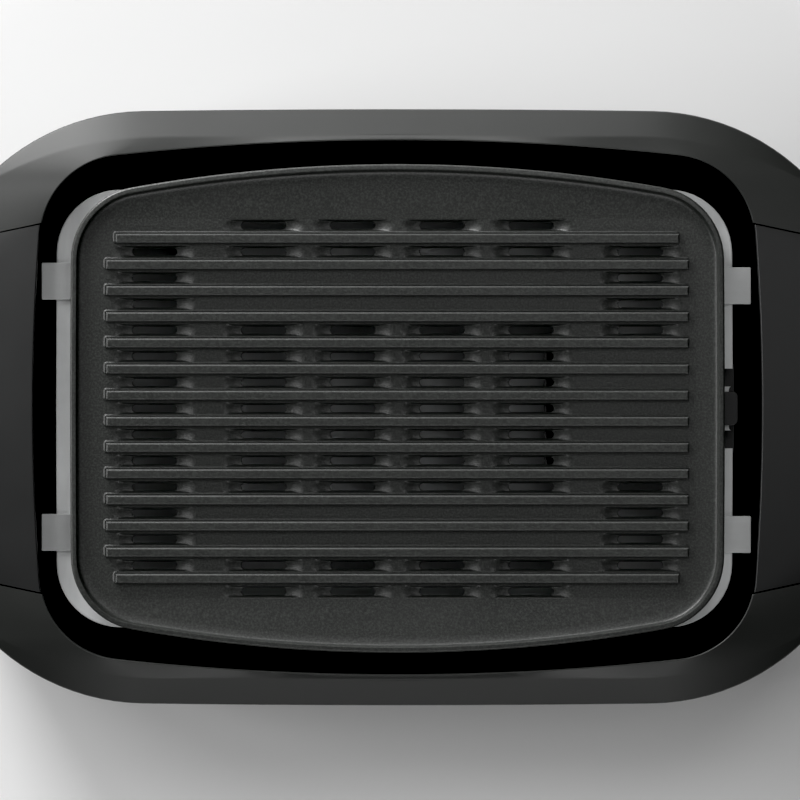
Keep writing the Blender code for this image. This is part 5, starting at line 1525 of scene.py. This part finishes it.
def make_inlet():
    back = low("inlet_socket").x
    front = high("inlet_socket").x
    place = inlet_place()
    wall = INLET_WALL
    sizes = (INLET_HALF_Y, INLET_HALF_Z, INLET_CORNER)
    socket = lengthwise_block((back, front - INLET_ROUND), *sizes, place, "inlet_shell")
    _, flange_y, flange_z = half("inlet_socket")
    sizes = (flange_y, flange_z, INLET_CORNER, INLET_ROUND)
    ends = (front - INLET_FLANGE_THICK, front)
    join(socket, rounded_lengthwise("flange", ends, *sizes, place))
    sizes = (INLET_HALF_Y - wall, INLET_HALF_Z - wall, INLET_CORNER - wall)
    cut(socket, lengthwise_block((back + wall, front + MM), *sizes, place))
    for word in ("line", "earth", "neutral"):
        node = f"inlet_pin_{word}"
        _, half_y, half_z = half(node)
        place = middle(node)[1:]
        sizes = (half_y + CLEAR, half_z + CLEAR, half_y / 2)
        cut(socket, lengthwise_block((back - MM, back + 2 * wall), *sizes, place))
        sizes = (half_y, half_z, half_y * BLADE_CORNER_SHARE, half_y * BLADE_ROUND_SHARE)
        ends = (low(node).x, high(node).x)
        blade = rounded_lengthwise(f"blade_{word}", ends, *sizes, place)
        dress(blade, "body", node, "contact_brass")
    soften(socket, INLET_EDGE)
    dress(socket, "body", "inlet_socket", "black_resin")


# Stage, lights and camera

FLOOR_HALF = 4.0
PLATE_MIDDLE_PIXEL = (397.5, 408.5)
PICTURE_PIXELS = 800
PIXEL_AT_PLATE = 0.485 * MM
CAMERA_DISTANCE = 3.5
BLACK_LEVEL = 0.005
LIGHT_REACH = 2.0
LIGHT_AIM = (0, 0, 0.08)
LIGHT_SIZE = (0.7, 0.7)
LIGHTS = (
    ("back_low", 90, 10, 7.5),
    ("key", 120, 10, 43.3),
    ("key_mid", 120, 25, 18.8),
    ("left_mid", 180, 25, 13.5),
    ("left_back", 150, 40, 8.8),
    ("front_high", 270, 40, 9.4),
    ("top_right", 0, 60, 1.3),
    ("top_back", 60, 60, 4.5),
    ("top_left", 120, 60, 0.8),
    ("overhead", 45, 80, 1.2),
)


def make_floor():
    shape = bmesh.new()
    bmesh.ops.create_grid(shape, x_segments=8, y_segments=8, size=FLOOR_HALF)
    floor = new_object("floor", shape)
    finish = Finish("floor_paint", 0.75, specular=0.2)
    finish.colour(finish.ramp(finish.noise(3.0, 3.0), 0.3, 0.78, 0.7, 0.8))
    finish.bump(finish.noise(400.0, 2.0), 0.05, 0.05 * MM)
    floor.data.materials.append(finish.material)


def make_lights():
    """Soft panels round the object, each at a bearing and a height over the middle, in degrees."""
    for name, bearing, height, power in LIGHTS:
        around = math.radians(bearing)
        above = math.radians(height)
        data = bpy.data.lights.new(name, "AREA")
        data.shape = "RECTANGLE"
        data.size, data.size_y = LIGHT_SIZE
        data.energy = power
        light = bpy.data.objects.new(name, data)
        bpy.context.scene.collection.objects.link(light)
        light.location = (
            LIGHT_AIM[0] + LIGHT_REACH * math.cos(above) * math.cos(around),
            LIGHT_AIM[1] + LIGHT_REACH * math.cos(above) * math.sin(around),
            LIGHT_AIM[2] + LIGHT_REACH * math.sin(above),
        )
        heading = light.location.copy()
        heading.z -= LIGHT_AIM[2]
        light.rotation_euler = heading.to_track_quat("Z", "Y").to_euler()
    world = bpy.data.worlds.new("studio")
    bpy.context.scene.world = world
    world.use_nodes = True
    world.node_tree.nodes["Background"].inputs["Strength"].default_value = 0.0


def make_camera():
    """Straight down, as far off as the photograph, with its plate at the photograph's scale."""
    data = bpy.data.cameras.new("camera")
    data.sensor_fit = "HORIZONTAL"
    width = PICTURE_PIXELS * PIXEL_AT_PLATE
    data.angle = 2 * math.atan(width / 2 / CAMERA_DISTANCE)
    camera = bpy.data.objects.new("camera", data)
    bpy.context.scene.collection.objects.link(camera)
    middle = PICTURE_PIXELS / 2
    camera.location = (
        (middle - PLATE_MIDDLE_PIXEL[0]) * PIXEL_AT_PLATE,
        (PLATE_MIDDLE_PIXEL[1] - middle) * PIXEL_AT_PLATE,
        PLATE_RIM_TOP + CAMERA_DISTANCE,
    )
    bpy.context.scene.camera = camera
    view = bpy.context.scene.view_settings
    view.view_transform = "Standard"
    view.use_curve_mapping = True
    view.curve_mapping.black_level = (BLACK_LEVEL, BLACK_LEVEL, BLACK_LEVEL)
    view.curve_mapping.update()


def finish_cad_nodes():
    """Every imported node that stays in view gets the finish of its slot."""
    slots = {s["node"]: s["material_slot"] for s in frame["record"]["subparts"]}
    for name, node in frame["nodes"].items():
        node.data.materials.clear()
        node.data.materials.append(MATERIALS[slots[name]])


finish_cad_nodes()
make_guard()
for make in (make_grip_pocket, make_handle_cover):
    for side, word in SIDES:
        make(side, word)
make_base_plate()
make_feet()
make_screws()
make_tray()
make_straps()
make_plate()
make_element()
make_terminal_cover()
make_terminal_block()
make_contact_block()
make_housing()
make_lens()
make_bezel()
make_dial()
make_inlet()
make_floor()
make_lights()
make_camera()
